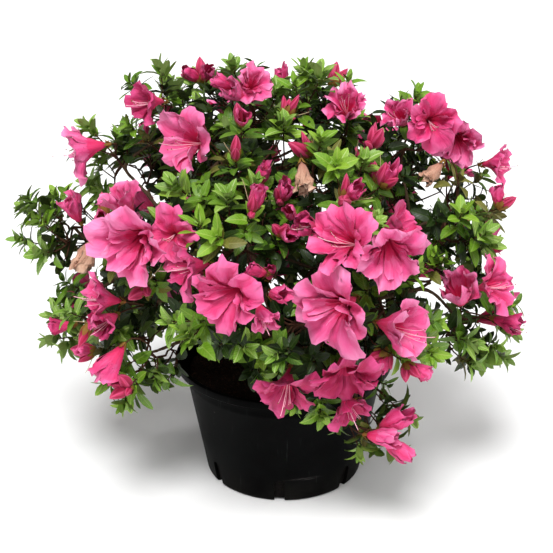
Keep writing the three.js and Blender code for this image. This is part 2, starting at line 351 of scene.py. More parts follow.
def relief_tree():
    """Pushes a surface in and out by stretched noise, as bark is ridged."""
    m, given, ends = new_tree("bark_relief", Depth=0.0009, Ridge_Size=260.0)
    long = m.put("GeometryNodeInputPosition").vector("MULTIPLY", (1.0, 1.0, 0.35))
    height = m.noise(long, given["Ridge Size"], 4.0, Distortion=0.6) - 0.5
    push = m.put("GeometryNodeInputNormal").scaled(height * given["Depth"])
    m.feed(ends[0], m.worn(m.real(m.moved(given["Geometry"], push)), given["Material"]))
    return m.tree


def plain_piece(obj):
    """Bakes an object's modifiers into its mesh and takes them away."""
    graph = bpy.context.evaluated_depsgraph_get()
    solid = obj.evaluated_get(graph)
    mesh = bpy.data.meshes.new_from_object(solid, preserve_all_data_layers=True, depsgraph=graph)
    mesh.name = obj.name
    obj.modifiers.clear()
    obj.data = mesh
    return obj


def shown(name, mesh):
    obj = bpy.data.objects.new(name, mesh)
    bpy.context.scene.collection.objects.link(obj)
    return obj


def grown(name, mesh, tree, inputs):
    """A piece made by a node tree from a mesh, with the tree's inputs given by name."""
    obj = bpy.data.objects.new(name, mesh)
    modifier = obj.modifiers.new(tree.name, "NODES")
    modifier.node_group = tree
    for item in tree.interface.items_tree:
        if item.item_type == "SOCKET" and item.in_out == "INPUT" and item.name in inputs:
            modifier[item.identifier] = inputs[item.name]
    bpy.context.scene.collection.objects.link(obj)
    return plain_piece(obj)


def belongs(piece, slot, *nodes):
    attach(piece, "root")
    if nodes:
        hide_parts(*nodes)
    return piece


# ------------------------------------------------------------------------------------- meshes


def mesh_of(name, vertices, faces, edges=()):
    mesh = bpy.data.meshes.new(name)
    mesh.from_pydata([tuple(v) for v in vertices], [tuple(e) for e in edges], [tuple(f) for f in faces])
    mesh.update()
    return mesh


def store(mesh, name, values, kind="FLOAT", domain="POINT"):
    layer = mesh.attributes.new(name, kind, domain)
    key = "vector" if kind in ("FLOAT_VECTOR", "FLOAT2") else "value"
    layer.data.foreach_set(key, np.ravel(values).astype(int if kind == "INT" else float))


def give_map(mesh, name, pairs):
    """A UV map from one pair of numbers for each vertex."""
    layer = mesh.uv_layers.new(name=name)
    corners = np.zeros(len(mesh.loops), int)
    mesh.loops.foreach_get("vertex_index", corners)
    layer.data.foreach_set("uv", np.asarray(pairs, float)[corners].ravel())


def grid_faces(rows, columns, start=0, closed=False):
    """Quads of a grid of points stored row by row."""
    faces = []
    for i in range(rows - 1):
        for j in range(columns if closed else columns - 1):
            a, b = start + i * columns + j, start + i * columns + (j + 1) % columns
            faces.append((a, a + columns, b + columns, b))
    return faces


def shape_collection(name, meshes):
    """Source shapes for instancing, kept out of the scene. They are dealt in the order of their names."""
    collection = bpy.data.collections.new(name)
    for i, mesh in enumerate(meshes):
        collection.objects.link(bpy.data.objects.new(f"{name}_{i:02d}", mesh))
    return collection


def standing(axis, spin=0.0):
    """Euler angles that turn local +Z to axis."""
    turn = UP.rotation_difference(Vector(axis)) @ Quaternion(UP, spin)
    return tuple(turn.to_euler("XYZ"))


def facing(axis, spin=0.0):
    """Euler angles that turn local +Z to axis and keep local +X upwards."""
    z = Vector(axis).normalized()
    x = (UP - z * UP.dot(z)) if abs(z.z) < 0.98 else Vector((0, 1, 0)) - z * z.y
    x.normalize()
    matrix = Matrix((x, z.cross(x), z)).transposed()
    return tuple((matrix.to_quaternion() @ Quaternion(UP, spin)).to_euler("XYZ"))


def point_mesh(name, rows):
    """Points with the attributes that the trees read. A row is (place, turn, size, kind, leaves)."""
    mesh = mesh_of(name, [r[0] for r in rows], [])
    store(mesh, "turn", [r[1] for r in rows], "FLOAT_VECTOR")
    store(mesh, "size", [r[2] for r in rows])
    store(mesh, "kind", [r[3] for r in rows], "INT")
    store(mesh, "leaves", [r[4] for r in rows], "INT")
    return mesh


def rod_mesh(name, paths):
    """Chains of points for the rod tree. A path is (points, girths)."""
    vertices, edges, girths = [], [], []
    for points, girth in paths:
        start = len(vertices)
        vertices.extend(points)
        girths.extend(girth)
        edges.extend((start + i, start + i + 1) for i in range(len(points) - 1))
    mesh = mesh_of(name, vertices, [], edges)
    store(mesh, "girth", girths)
    return mesh


def bezier(a, b, c, d, steps):
    t = np.linspace(0, 1, steps)[:, None]
    a, b, c, d = (np.array(p) for p in (a, b, c, d))
    return (1 - t) ** 3 * a + 3 * (1 - t) ** 2 * t * b + 3 * (1 - t) * t**2 * c + t**3 * d


# ------------------------------------------------------------------------ leaf, petal and bud shapes


def leaf_shape(name, width, fold, droop, twist):
    """A leaf one unit long, from its stalk at the origin to its tip along +X, with its face up."""
    stations = np.array([0.13, 0.36, 0.63, 0.87])
    halves = width * np.sin(np.pi * stations**0.88) ** 0.64
    vertices, pairs = [(0, 0, 0)], [(0.5, 0)]
    for s, half in zip(stations, halves):
        for side in (-1, 0, 1):
            y, lift = side * half, abs(side) * half * fold - droop * s * s + 0.12 * s
            turn = twist * s
            z = lift * math.cos(turn) + y * math.sin(turn)
            vertices.append((s * (1 - 0.3 * droop * s), y * math.cos(turn), z))
            pairs.append((0.5 + side * half / width / 2, s))
    vertices.append((1 - 0.3 * droop, 0, 0.12 - droop))
    pairs.append((0.5, 1))
    faces = [(0, 2, 1), (0, 3, 2)]
    for a in range(1, 3 * len(stations) - 2, 3):
        faces += [(a + 3, a + 4, a + 1, a), (a + 4, a + 5, a + 2, a + 1)]
    tip = len(vertices) - 1
    faces += [(tip, tip - 2, tip - 3), (tip, tip - 1, tip - 2)]
    mesh = mesh_of(name, vertices, faces)
    give_map(mesh, "leaf_map", pairs)
    return mesh


# Half the angle that a petal takes up round its flower, along its length.
PETAL_STATIONS = [0, 0.28, 0.5, 0.7, 0.82, 0.9, 1.0]
PETAL_HALVES = [0.8, 0.82, 0.87, 0.92, 0.91, 0.86, 0.74]


def corolla_profile(t, openness):
    """Radius and height of a flower of 37 mm radius at the share t of the way from foot to edge."""
    held = np.clip(t, 0, 1)
    foot = 2.2 * np.clip(t * 14, 0, 1)
    wide = foot + 36 * t**1.75
    shut = foot + 9.0 * np.sin(np.pi * 0.93 * held**0.9)
    wide_z = -27 + 29 * (1 - (1 - t) ** 2) - 4.5 * t**6
    shut_z = -27 + 50 * t
    radius = shut + (wide - shut) * openness
    return radius, shut_z + (wide_z - shut_z) * openness


def petal_points(rng, openness, lean, angle, length, width, ruffle, rows, columns):
    """One petal as a grid of points in millimetres, with its map, looseness, crests and rolled rim. The
    crests carry painted light and shade: painted highlight where the ruffles stand up, painted shade in the
    folds and creases; the rim carries a painted highlight.
    """
    s = np.linspace(0, 1, rows)[:, None] ** 0.9
    u = np.linspace(-1, 1, columns)[None, :]
    edge = 1 - 0.4 * np.abs(u) ** 2.7 + rng.uniform(-0.05, 0.02) * np.exp(-((u / 0.25) ** 2))
    edge = edge + 0.012 * np.sin(11 * u + rng.uniform(0, 6.3))
    t = s * edge * length
    opened = openness + lean * np.clip((t - 0.22) / 0.4, 0, 1)
    radius, height = corolla_profile(t, opened)
    ahead, above = corolla_profile(t + 0.01, opened)
    slope = np.arctan2(above - height, ahead - radius)
    half = width * np.interp(t, PETAL_STATIONS, PETAL_HALVES)
    phase = rng.uniform(0, 6.3, 4)
    wave = 0.6 * np.sin(2.4 * np.pi * u + phase[0]) + 0.6 * np.abs(u) * np.sin(7.5 * u + phase[1])
    wave = wave + 0.6 * np.abs(u) * np.sin(9 * t + phase[2]) + 0.25 * t**3 * np.sin(13 * u + phase[3])
    crease = np.exp(-np.abs(u - rng.uniform(-0.55, 0.55)) / 0.16) * t**1.4
    push = ruffle * t**2.4 * wave + rng.uniform(-1.5, 8.0) * u**2 * t - rng.uniform(0.3, 3.6) * crease
    push = push + 1.8 * u * np.clip(t * 3 - 0.9, 0, 1) + rng.uniform(-4.5, 6.0) * t**4
    push = push + rng.uniform(-5, 5) * u * t**2
    radius = radius - np.sin(slope) * push
    height = height + np.cos(slope) * push
    phi = angle + half * u + rng.uniform(-0.26, 0.26) * t**2
    points = np.stack([radius * np.cos(phi), radius * np.sin(phi), height], -1).reshape(-1, 3)
    pairs = np.stack([np.broadcast_to(0.5 + 0.5 * u, t.shape), np.clip(t, 0, 1)], -1).reshape(-1, 2)
    # crest: painted light and shade, lighter where a ruffle stands up and towards the edge, shaded in the
    # folds and creases
    crest = np.clip(0.48 + 0.42 * wave * np.clip(2 * t, 0, 1) + 0.25 * (t - 0.5) - 0.5 * crease, 0, 1)
    # rim: mask of a painted highlight along the petal's outline
    rim = np.clip(np.maximum(s, np.abs(u)) * 6 - 5, 0, 1) * np.clip(t * 3 - 0.9, 0, 1)
    return points, pairs, {"loose": np.clip(t, 0, 1) ** 1.5, "crest": crest, "rim": rim}


def bloom_shape(name, seed, openness, outer, inner, ruffle):
    """A flower 1 unit across when open, facing +Z, its top petal towards +X, its throat at the origin."""
    rng = draws(seed)
    rows, columns = 12, 15
    points, pairs, blotch, faces = [], [], [], []
    marks = {"loose": [], "crest": [], "rim": []}
    petals = [(0.0, i * math.tau / outer, 1.0, 5.2 / outer, 0.0) for i in range(outer)]
    for i in range(inner):
        lean = openness * rng.uniform(-0.5, -0.15)
        angle = (i + 0.5) * math.tau / inner + rng.uniform(-0.3, 0.3)
        petals.append((lean, angle, rng.uniform(0.62, 0.9), rng.uniform(0.62, 0.92), 1.5))
    for i, (lean, angle, length, width, lift) in enumerate(petals):
        lean += rng.uniform(-0.26, 0.12) * openness
        angle += rng.uniform(-0.14, 0.14)
        length *= rng.uniform(0.92, 1.08)
        shape = (rng, openness, lean, angle, length, width, ruffle, rows, columns)
        placed, mapped, marked = petal_points(*shape)
        placed[:, 2] += lift
        faces += grid_faces(rows, columns, len(points) * rows * columns)
        points.append(placed)
        pairs.append(mapped)
        for key, values in marked.items():
            marks[key].append(values.ravel())
        blotch.append(np.full(rows * columns, 1.0 if i in (0, 1, 4) else 0.0))
    mesh = mesh_of(name, np.concatenate(points) / 76, faces)
    give_map(mesh, "petal_map", np.concatenate(pairs))
    store(mesh, "blotch", np.concatenate(blotch))
    for key, values in marks.items():
        store(mesh, key, np.concatenate(values))
    depth = np.concatenate(pairs)[:, 1]
    store(mesh, "inner", [float(np.mean(depth[list(f)]) < 0.4) for f in faces], domain="FACE")
    return mesh


# How far each shape is open, its outer petals and its inner ones.
FORMS = {
    "open": [(1.0, 5, 0), (0.9, 5, 0), (0.84, 5, 0), (0.94, 5, 1)],
    "double": [(0.96, 5, 2), (0.88, 6, 2), (0.8, 5, 3), (0.9, 6, 3)],
    "full": [(0.92, 6, 5), (0.84, 5, 5), (0.78, 6, 4), (0.72, 6, 6)],
    "trumpet": [(0.74, 5, 0), (0.68, 5, 0), (0.8, 5, 2)],
    "bell": [(0.46, 5, 0), (0.36, 5, 2), (0.54, 5, 3)],
    "bursting": [(0.12, 5, 0), (0.2, 5, 0)],
    "wilted": [(0.2, 5, 0), (0.28, 5, 0)],
}
RUFFLES = {"wilted": 5.0, "bursting": 1.2, "bell": 3.6, "full": 5.0, "double": 4.8}


def numbered_forms():
    """Every form's shapes by their place in the whole row of shapes."""
    kinds, first = {}, 0
    for form, rows in FORMS.items():
        kinds[form] = list(range(first, first + len(rows)))
        first += len(rows)
    return kinds


KINDS = numbered_forms()


def bloom_shapes():
    meshes = []
    for form, rows in FORMS.items():
        for kind, (openness, outer, inner) in zip(KINDS[form], rows):
            ruffle = RUFFLES.get(form, 4.4)
            meshes.append(bloom_shape(f"bloom_{kind:02d}", kind, openness, outer, inner, ruffle))
    return shape_collection("bloom_shapes", meshes)


def bud_shape(name, girth, twist, tip):
    """A pointed bud one unit long standing on the origin: five petals furled over each other."""
    rows, columns = 9, 15
    s = np.linspace(0, 1, rows)[:, None]
    column = np.arange(columns)[None, :]
    lap = (column % 3) / 2 - 0.5
    profile = girth * np.sin(np.pi * (0.12 + 0.88 * s) ** 0.8) ** 0.75 + tip * s * (1 - s)
    radius = profile * (1 + 0.2 * lap * np.clip(s * 2, 0, 1))
    angle = column * math.tau / columns + twist * s + 0.1 * lap
    points = np.stack([radius * np.cos(angle), radius * np.sin(angle), s + 0 * angle], -1).reshape(-1, 3)
    faces = [f[::-1] for f in grid_faces(rows, columns, closed=True)]
    points = np.concatenate([points, [[0, 0, 0]]])
    faces += [(len(points) - 1, (j + 1) % columns, j) for j in range(columns)]
    mesh = mesh_of(name, points, faces)
    across = np.broadcast_to(column / columns, (rows, columns)).ravel()
    along = np.broadcast_to(s, (rows, columns)).ravel()
    give_map(mesh, "petal_map", np.append(np.stack([across, along], -1), [[0, 0]], 0))
    # crest on a bud: painted light and shade, lighter on each overlapping edge, shaded in the groove under it
    store(mesh, "crest", np.append(np.broadcast_to(0.5 + lap, (rows, columns)).ravel(), 0))
    return mesh


def cup_shape(name, scales, width, radii, tip):
    """Pointed scales in a cup one unit high round the origin. Radii are at its foot, middle and rim."""
    vertices, faces = [], []
    stations = list(zip((0, 0.45, 0.75), (0.5, width, width * 0.7), radii))
    for i in range(scales):
        middle = i * math.tau / scales
        start = len(vertices)
        for height, half, radius in stations:
            for side in (-1, 0, 1):
                angle = middle + side * half * math.tau / scales
                bulge = radius * (1.08 if side == 0 else 1.0)
                vertices.append((bulge * math.cos(angle), bulge * math.sin(angle), height))
        vertices.append((tip * math.cos(middle), tip * math.sin(middle), 1))
        for row in (0, 3):
            for j in (0, 1):
                a = start + row + j
                faces.append((a, a + 1, a + 4, a + 3))
        faces += [(start + 6, start + 7, start + 9), (start + 7, start + 8, start + 9)]
    return mesh_of(name, vertices, faces)


def lump_shape(name, seed):
    """An uneven crumb one unit across."""
    rng = draws(seed)
    rows, columns = 5, 7
    vertices = []
    for i in range(1, rows):
        for j in range(columns):
            spot = direction(j * 360 / columns, 90 - i * 180 / rows)
            vertices.append(spot * rng.uniform(0.34, 0.56))
    vertices += [Vector((0, 0, 0.4)), Vector((0, 0, -0.4))]
    faces = grid_faces(rows - 1, columns, closed=True)
    last = (rows - 2) * columns
    top, bottom = len(vertices) - 2, len(vertices) - 1
    for j in range(columns):
        faces.append((top, j, (j + 1) % columns))
        faces.append((bottom, last + (j + 1) % columns, last + j))
    return mesh_of(name, vertices, faces)


# ----------------------------------------------------------------------------------- materials


def dapple_group():
    """Soft two-scale blotches over a surface: a mask from 0 to 1."""
    inputs = {"Place": "Vector", "Size": 60.0}
    m, given, ends = new_group("dapple", "ShaderNodeTree", inputs, ["Mask"])
    cloud = m.noise(given["Place"], given["Size"], 5.0, Roughness=0.6)
    m.feed(ends["Mask"], cloud.spread(0.32, 0.68))
    return m.tree


def leaf_group():
    """Midrib, side veins and the blistered surface between them, from a leaf's own map."""
    m, given, ends = new_group("leaf_veins", "ShaderNodeTree", {"Map": "Vector"}, ["Rib", "Height", "Along"])
    along = given["Map"].part(1)
    aside = m.calc("ABSOLUTE", given["Map"].part(0) - 0.5)
    ripple = m.calc("SINE", (along - aside * 0.55) * 46.0)
    rib = m.calc("MAXIMUM", aside.spread(0.0, 0.07, 1.0, 0.0), ripple.spread(0.72, 1.0) * 0.4)
    m.feed(ends["Rib"], rib)
    m.feed(ends["Height"], rib * -1.0)
    m.feed(ends["Along"], along)
    return m.tree


def petal_group():
    """Fine veins, the pale edge, which is a painted highlight, and the red specks of a petal, from its own
    map.
    """
    inputs = {"Map": "Vector", "Blotch": 0.0}
    m, given, ends = new_group("petal_veins", "ShaderNodeTree", inputs, ["Veins", "Edge", "Specks"])
    streaks = m.noise(given["Map"].vector("MULTIPLY", (26.0, 2.2, 1.0)), 1.0, 3.0)
    m.feed(ends["Veins"], streaks.spread(0.34, 0.66))
    along = given["Map"].part(1)
    m.feed(ends["Edge"], along.spread(0.74, 1.0))
    spots = {"Vector": given["Map"].vector("MULTIPLY", (15.0, 24.0, 1.0)), "Scale": 1.0}
    dot = m.put("ShaderNodeTexVoronoi", spots, "Distance").spread(0.16, 0.26, 1.0, 0.0)
    near = along.spread(0.24, 0.34) * along.spread(0.55, 0.7, 1.0, 0.0)
    middle = m.calc("ABSOLUTE", given["Map"].part(0) - 0.5).spread(0.16, 0.3, 1.0, 0.0)
    m.feed(ends["Specks"], dot * near * (middle * given["Blotch"]))
    return m.tree


GROUPS = {"dapple": dapple_group(), "leaf": leaf_group(), "petal": petal_group()}


class Skin(Maker):
    """A new material's tree, with its surface."""

    def __init__(self, name, specular):
        self.material = bpy.data.materials.new(name)
        self.material.use_nodes = True
        super().__init__(self.material.node_tree)
        self.surface = self.tree.nodes["Principled BSDF"]
        self.surface.inputs["Specular IOR Level"].default_value = specular
        self.place = self.put("ShaderNodeTexCoord", output="Object")

    def group(self, name, inputs, output=0):
        return self.put("ShaderNodeGroup", inputs, output, node_tree=GROUPS[name])

    def dapple(self, size, place=None):
        return self.group("dapple", {"Place": place or self.place, "Size": size})

    def stored(self, name):
        return self.put("ShaderNodeAttribute", output="Fac", attribute_name=name)

    def finished(self, colour, roughness, height=None, strength=0.0, distance=0.0):
        self.feed(self.surface.inputs["Base Color"], colour)
        self.feed(self.surface.inputs["Roughness"], roughness)
        if height is not None:
            inputs = {"Height": height, "Strength": strength, "Distance": distance}
            self.feed(self.surface.inputs["Normal"], self.put("ShaderNodeBump", inputs))
        return self.material


def leaf_material(name, low, high, rib, under, roughness):
    """Semi-gloss leaf: its colour lies between low and high, leaf by leaf, and its back is under."""
    skin = Skin(name, 0.3)
    leaf_map = skin.put("ShaderNodeUVMap", uv_map="leaf_map")
    ribs, height, along = skin.group("leaf", {"Map": leaf_map}, ["Rib", "Height", "Along"])
    dapple = skin.dapple(240.0)
    colour = skin.mixed(dapple * 0.3 + skin.stored("shade") * 0.7, srgb(low), srgb(high))
    colour = skin.mixed(along.spread(0.0, 0.45, 0.45, 0.0), colour, srgb(high))
    colour = skin.mixed(ribs * 0.6, colour, srgb(rib))
    back = skin.put("ShaderNodeNewGeometry", output="Backfacing")
    colour = skin.mixed(back * 0.75, colour, srgb(under))
    rough = dapple.spread(0.0, 1.0, roughness - 0.06, roughness + 0.1)
    return skin.finished(colour, rough, height, 0.5, 0.0006)


def petal_material(name, body, edge, throat, vein_strength=0.25, fleck=(150, 10, 60)):
    """Thin soft petal: throat colour at the foot, body, and a paler edge that is a painted highlight, with
    fine lengthwise veins. Painted highlight on the ruffles' crests and rim, and painted shade in their folds.
    """
    skin = Skin(name, 0.25)
    petal_map = skin.put("ShaderNodeUVMap", uv_map="petal_map")
    inputs = {"Map": petal_map, "Blotch": skin.stored("blotch")}
    veins, far, specks = skin.group("petal", inputs, ["Veins", "Edge", "Specks"])
    dapple, crest = skin.dapple(46.0), skin.stored("crest")
    colour = skin.mixed(petal_map.part(1).spread(0.12, 0.62), srgb(throat), srgb(body))
    # painted highlight: the pale edge, the crests and the rim, mixed with a random shade per bloom and
    # blotches
    pale = skin.stored("shade") * 0.15 + (far * 0.4 + dapple * 0.15)
    pale = crest.spread(0.4, 1.0) * 0.5 + pale
    pale = skin.stored("rim") * 0.32 + pale
    colour = skin.mixed(pale, colour, srgb(edge))
    # painted shade: the throat colour laid into the folds between the ruffles, added to the real veins
    fold = crest.spread(0.0, 0.42, 1.0, 0.0) * 0.34
    colour = skin.mixed((1.0 - veins) * vein_strength + fold, colour, srgb(throat))
    colour = skin.mixed(specks * 0.8, colour, srgb(fleck))
    skin.surface.inputs["Sheen Weight"].default_value = 0.08
    skin.surface.inputs["Sheen Roughness"].default_value = 0.4
    return skin.finished(colour, dapple.spread(0.0, 1.0, 0.42, 0.58), veins, 0.5, 0.0007)


def mottled_material(name, first, second, size, roughness, depth, grain=(1.0, 1.0, 1.0)):
    """Rough natural surface of two colours in blotches and grain, such as bark, peat or dry scales."""
    skin = Skin(name, 0.12)
    place = skin.place.vector("MULTIPLY", grain)
    both = skin.dapple(size * 5, place) * 0.45 + skin.dapple(size, place) * 0.55
    rough = both.spread(0.0, 1.0, roughness + 0.08, roughness - 0.08)
    return skin.finished(skin.mixed(both, srgb(first), srgb(second)), rough, both, 0.7, depth)


def scrape(skin):
    """A pale scrape that runs sideways low on the pot's front."""
    near = skin.place.vector("ADD", tuple(-c for c in SCRAPE)).vector("MULTIPLY", (42.0, 0.0, 420.0))
    reach = skin.put("ShaderNodeVectorMath", {0: near}, "Value", operation="LENGTH")
    lines = skin.noise(skin.place.vector("MULTIPLY", (60.0, 60.0, 900.0)), 1.0, 3.0)
    front = skin.place.part(1).spread(-0.05, -0.04, 1.0, 0.0)
    return reach.spread(0.3, 1.0, 1.0, 0.0) * lines.spread(0.46, 0.6) * front


def pot_material():
    """Near-black moulded plastic with a satin skin, faint scuffs, specks and dust low down."""
    skin = Skin("pot_plastic", 0.02)
    cloud = skin.dapple(22.0)
    slanted = {"Vector": skin.place, "Rotation": (0.4, 0.3, 0.2), "Scale": (500, 60, 24)}
    lines = skin.noise(skin.put("ShaderNodeMapping", slanted), 1.0, 2.0)
    scuff = lines.spread(0.66, 0.76) * cloud.spread(0.35, 0.8)
    cells = {"Vector": skin.place, "Scale": 85.0}
    distance, tint = skin.put("ShaderNodeTexVoronoi", cells, ["Distance", "Color"])
    speck = distance.spread(0.03, 0.1, 1.0, 0.0) * tint.part(0).spread(0.86, 0.9)
    dust = skin.place.part(2).spread(0.0, 0.035, 0.5, 0.0) * cloud
    colour = skin.mixed(cloud, srgb((3, 3, 3)), srgb((8, 9, 9)))
    marks = [
        (scuff * 0.3, (58, 62, 61)),
        (scrape(skin) * 0.42, (88, 86, 84)),
        (dust * 0.3, (60, 55, 48)),
        (speck * 0.6, (96, 94, 88)),
    ]
    for mask, shade in marks:
        colour = skin.mixed(mask, colour, srgb(shade))
    rough = cloud.spread(0.0, 1.0, 0.34, 0.46) + dust * 0.5
    return skin.finished(colour, rough, skin.noise(skin.place, 900.0, 2.0) * 0.5 - scuff, 0.22, 0.0003)


def floor_material():
    skin = Skin("studio_floor", 0.0)
    return skin.finished(skin.mixed(skin.dapple(1.5), (0.93, 0.93, 0.93, 1), (0.95, 0.95, 0.95, 1)), 0.9)


# Leaves: the colour at the low end and at the high end of a tone's range, midrib, back and roughness.
LEAF_TONES = {
    "young": ((92, 134, 34), (144, 178, 72), (198, 214, 146), (148, 172, 102), 0.36),
    "fresh": ((88, 136, 22), (142, 178, 54), (176, 198, 100), (126, 152, 76), 0.36),
    "mature": ((52, 92, 8), (104, 142, 32), (134, 160, 74), (104, 124, 62), 0.34),
    "olive": ((82, 84, 28), (124, 124, 52), (150, 146, 88), (116, 108, 68), 0.4),
    "dark": ((14, 30, 3), (36, 58, 10), (60, 82, 28), (50, 62, 28), 0.4),
# the tone for the leaves inside the crown: painted shade, a near-black green
}
# Petals: body, edge and throat, then the veins' strength and the colour of the flecks where they differ. The
# edge colour is also laid on as painted highlight, and the throat colour also as painted shade in the folds.
PETAL_TONES = {
    "light": ("petal_light", (220, 60, 130), (244, 146, 194), (204, 26, 92)),
    "bright": ("petal_bright", (212, 44, 112), (238, 116, 172), (190, 14, 70)),
    # the deep tone: a darker copy of the petals, painted shade for blooms that sit in shade
    "deep": ("petal_deep", (184, 26, 84), (216, 80, 140), (148, 8, 52)),
    "throat": ("petal_throat", (220, 46, 112), (232, 92, 150), (208, 16, 78), 0.35),
    "bud": ("bud_petal", (190, 24, 76), (236, 96, 146), (128, 8, 40), 0.5),
    "wilt": ("petal_wilted", (206, 160, 132), (226, 194, 168), (168, 104, 88), 0.5, (150, 90, 70)),
}
# The rest: two colours, blotch size, roughness and depth, then the stretch of its grain where it has one.
MOTTLES = {
    "scale": ("bud_scale", (116, 112, 44), (146, 72, 46), 300.0, 0.6, 0.0003),
    "twig": ("twig_bark", (52, 30, 22), (88, 58, 42), 160.0, 0.75, 0.0006, (1, 1, 0.4)),
    "bark": ("bough_bark", (66, 50, 38), (112, 90, 70), 90.0, 0.85, 0.0012, (1, 1, 0.35)),
    "peat": ("peat", (22, 16, 12), (48, 34, 26), 120.0, 0.95, 0.002),
    "damp": ("peat_damp", (6, 5, 4), (18, 12, 10), 120.0, 0.95, 0.002),
    "crumb": ("peat_crumbs", (30, 21, 16), (70, 50, 37), 90.0, 0.95, 0.001),
    "thread": ("stamen", (250, 176, 200), (255, 214, 222), 200.0, 0.45, 0.0001),
    "style": ("old_style", (176, 170, 118), (206, 176, 150), 200.0, 0.5, 0.0001),
    "anther": ("anther", (120, 66, 60), (164, 110, 84), 500.0, 0.6, 0.0002),
}
MATERIALS = {tone: leaf_material(f"leaf_{tone}", *row) for tone, row in LEAF_TONES.items()}
MATERIALS.update({key: petal_material(*row) for key, row in PETAL_TONES.items()})
MATERIALS.update({key: mottled_material(*row) for key, row in MOTTLES.items()})
MATERIALS["pot"] = pot_material()


# --------------------------------------------------------------------------- the frame's own shapes


def merged(node):
    """A CAD node's vertices with doubles merged, and its triangles."""
    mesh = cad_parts[node].data
    places = np.zeros(len(mesh.vertices) * 3)
    mesh.vertices.foreach_get("co", places)
    places = places.reshape(-1, 3)
    corners = np.zeros(len(mesh.loops), int)
    mesh.loops.foreach_get("vertex_index", corners)
    _, first, back = np.unique(np.round(places, 6), axis=0, return_index=True, return_inverse=True)
    return places[first], back.ravel()[corners].reshape(-1, 3)


def limb_path(node):
    """The centre line and radii of a limb, from its thick end. Its rings lie in steps from its cap."""
    places, triangles = merged(node)
    near = [set() for _ in places]
    for triangle in triangles:
        for v in triangle:
            near[v].update(int(w) for w in triangle if w != v)
    flat = []
    for v, ring in enumerate(near):
        around = places[sorted(ring)] - places[v]
        flat.append(np.linalg.svd(around, compute_uv=False)[-1] if len(ring) > 3 else 1.0)
    caps = sorted(range(len(places)), key=lambda v: flat[v])[:2]
    widths = [np.mean(np.linalg.norm(places[sorted(near[c])] - places[c], axis=1)) for c in caps]
    start = caps[int(np.argmax(widths))]
    seen, ring, path = {start}, [start], []
    while True:
        ring = sorted({w for v in ring for w in near[v]} - seen)
        if len(ring) < 3:
            break
        seen.update(ring)
        centre = places[ring].mean(0)
        path.append((centre, np.mean(np.linalg.norm(places[ring] - centre, axis=1))))
    return np.array([p for p, _ in path]), np.array([r for _, r in path])


def crown_surface():
    """The masses as one tree for rays, with each triangle's mass and each mass's middle."""
    vertices, triangles, owners, middles = [], [], [], {}
    for node in MASSES:
        places, faces = merged(node)
        middles[node] = Vector(places.mean(0))
        triangles.extend((faces + len(vertices)).tolist())
        vertices.extend(places.tolist())
        owners.extend([node] * len(faces))
    return BVHTree.FromPolygons(vertices, triangles), owners, middles


CROWN, OWNERS, MIDDLES = crown_surface()


def hubs():
    """Where the growth inside each mass starts: inward of its middle."""
    made = {}
    for mass in MASSES:
        out = (MIDDLES[mass] - CROWN_CENTRE).normalized()
        made[mass] = MIDDLES[mass] - out * 20 * MM
    return made


HUBS = hubs()


def on_crown(out, nearest=False):
    """Where the crown's outside lies in a direction from its centre, and the mass there."""
    place, _, index, _ = CROWN.ray_cast(CROWN_CENTRE + out * 0.6, -out, 0.6)
    if place is None and nearest:
        place, _, index, _ = CROWN.find_nearest(CROWN_CENTRE + out * 0.22)
    return (None, None) if place is None else (place, OWNERS[index])


# --------------------------------------------------------------------------------- pot and peat


POT_BASE = 84 * MM
POT_CORNER = 5 * MM
POT_WALL = 2.2 * MM
LIP_HEIGHT = 9 * MM
WALL_TOP = 106 * MM
SLOT = (13 * MM, 11 * MM, 28 * MM)
SLOT_COUNT = 7
FIRST_SLOT = math.radians(-93.5)


def turned(name, profile, segments):
    """A profile of (radius, height) turned round the Z axis, from axis to axis."""
    inner = [p for p in profile if p[0] > 0]
    vertices = []
    for radius, height in inner:
        for j in range(segments):
            angle = j * math.tau / segments
            vertices.append((radius * math.cos(angle), radius * math.sin(angle), height))
    faces = [f[::-1] for f in grid_faces(len(inner), segments, closed=True)]
    vertices += [(0, 0, profile[0][1]), (0, 0, profile[-1][1])]
    last = (len(inner) - 1) * segments
    for j in range(segments):
        after = (j + 1) % segments
        faces.append((len(vertices) - 2, after, j))
        faces.append((len(vertices) - 1, last + j, last + after))
    return mesh_of(name, vertices, faces)


def arc(centre, radius, start, end, steps):
    """Points of an arc in the profile plane, angles in degrees."""
    angles = np.radians(np.linspace(start, end, steps))
    return [(centre[0] + radius * math.cos(a), centre[1] + radius * math.sin(a)) for a in angles]


def pot_profile():
    lip = POT_HIGH.x
    top = POT_HIGH.z
    under = top - LIP_HEIGHT
    floor = 2.5 * MM
    round_lip = 1.4 * MM
    outside = [(0, 0), (POT_BASE - 22 * MM, 0)]
    outside += [(POT_BASE - 20 * MM, 0.6 * MM), (POT_BASE - 12 * MM, 0.6 * MM)]
    outside += [(POT_BASE - 10 * MM, 0), (POT_BASE - POT_CORNER, 0)]
    outside += arc((POT_BASE - POT_CORNER, POT_CORNER), POT_CORNER, -75, -8, 6)
    rib = [(0.06, 0), (0.5, 0), (0.86, 0), (0.872, 0.5 * MM), (0.9, 0.5 * MM), (0.912, 0)]
    for share, proud in rib:
        radius = POT_BASE + (WALL_TOP - POT_BASE) * share + proud
        outside.append((radius, POT_CORNER + (under - POT_CORNER) * share))
    outside += arc((WALL_TOP + 2 * MM, under - 1.5 * MM), 1.5 * MM, 170, 95, 4)
    outside += [(lip - 1.2 * MM, under + 0.4 * MM), (lip - 0.3 * MM, under + 1.2 * MM)]
    outside.append((lip, under + 2.4 * MM))
    outside += arc((lip - round_lip, top - round_lip), round_lip, 8, 90, 6)
    outside += arc((lip - 3.4 * MM, top - round_lip), round_lip, 90, 172, 5)
    inside = [(WALL_TOP - POT_WALL, under), (WALL_TOP - POT_WALL - 1.2 * MM, under - 6 * MM)]
    inside += [(POT_BASE - POT_WALL, floor + POT_CORNER), (POT_BASE - POT_CORNER - 2 * MM, floor), (0, floor)]
    return outside + inside


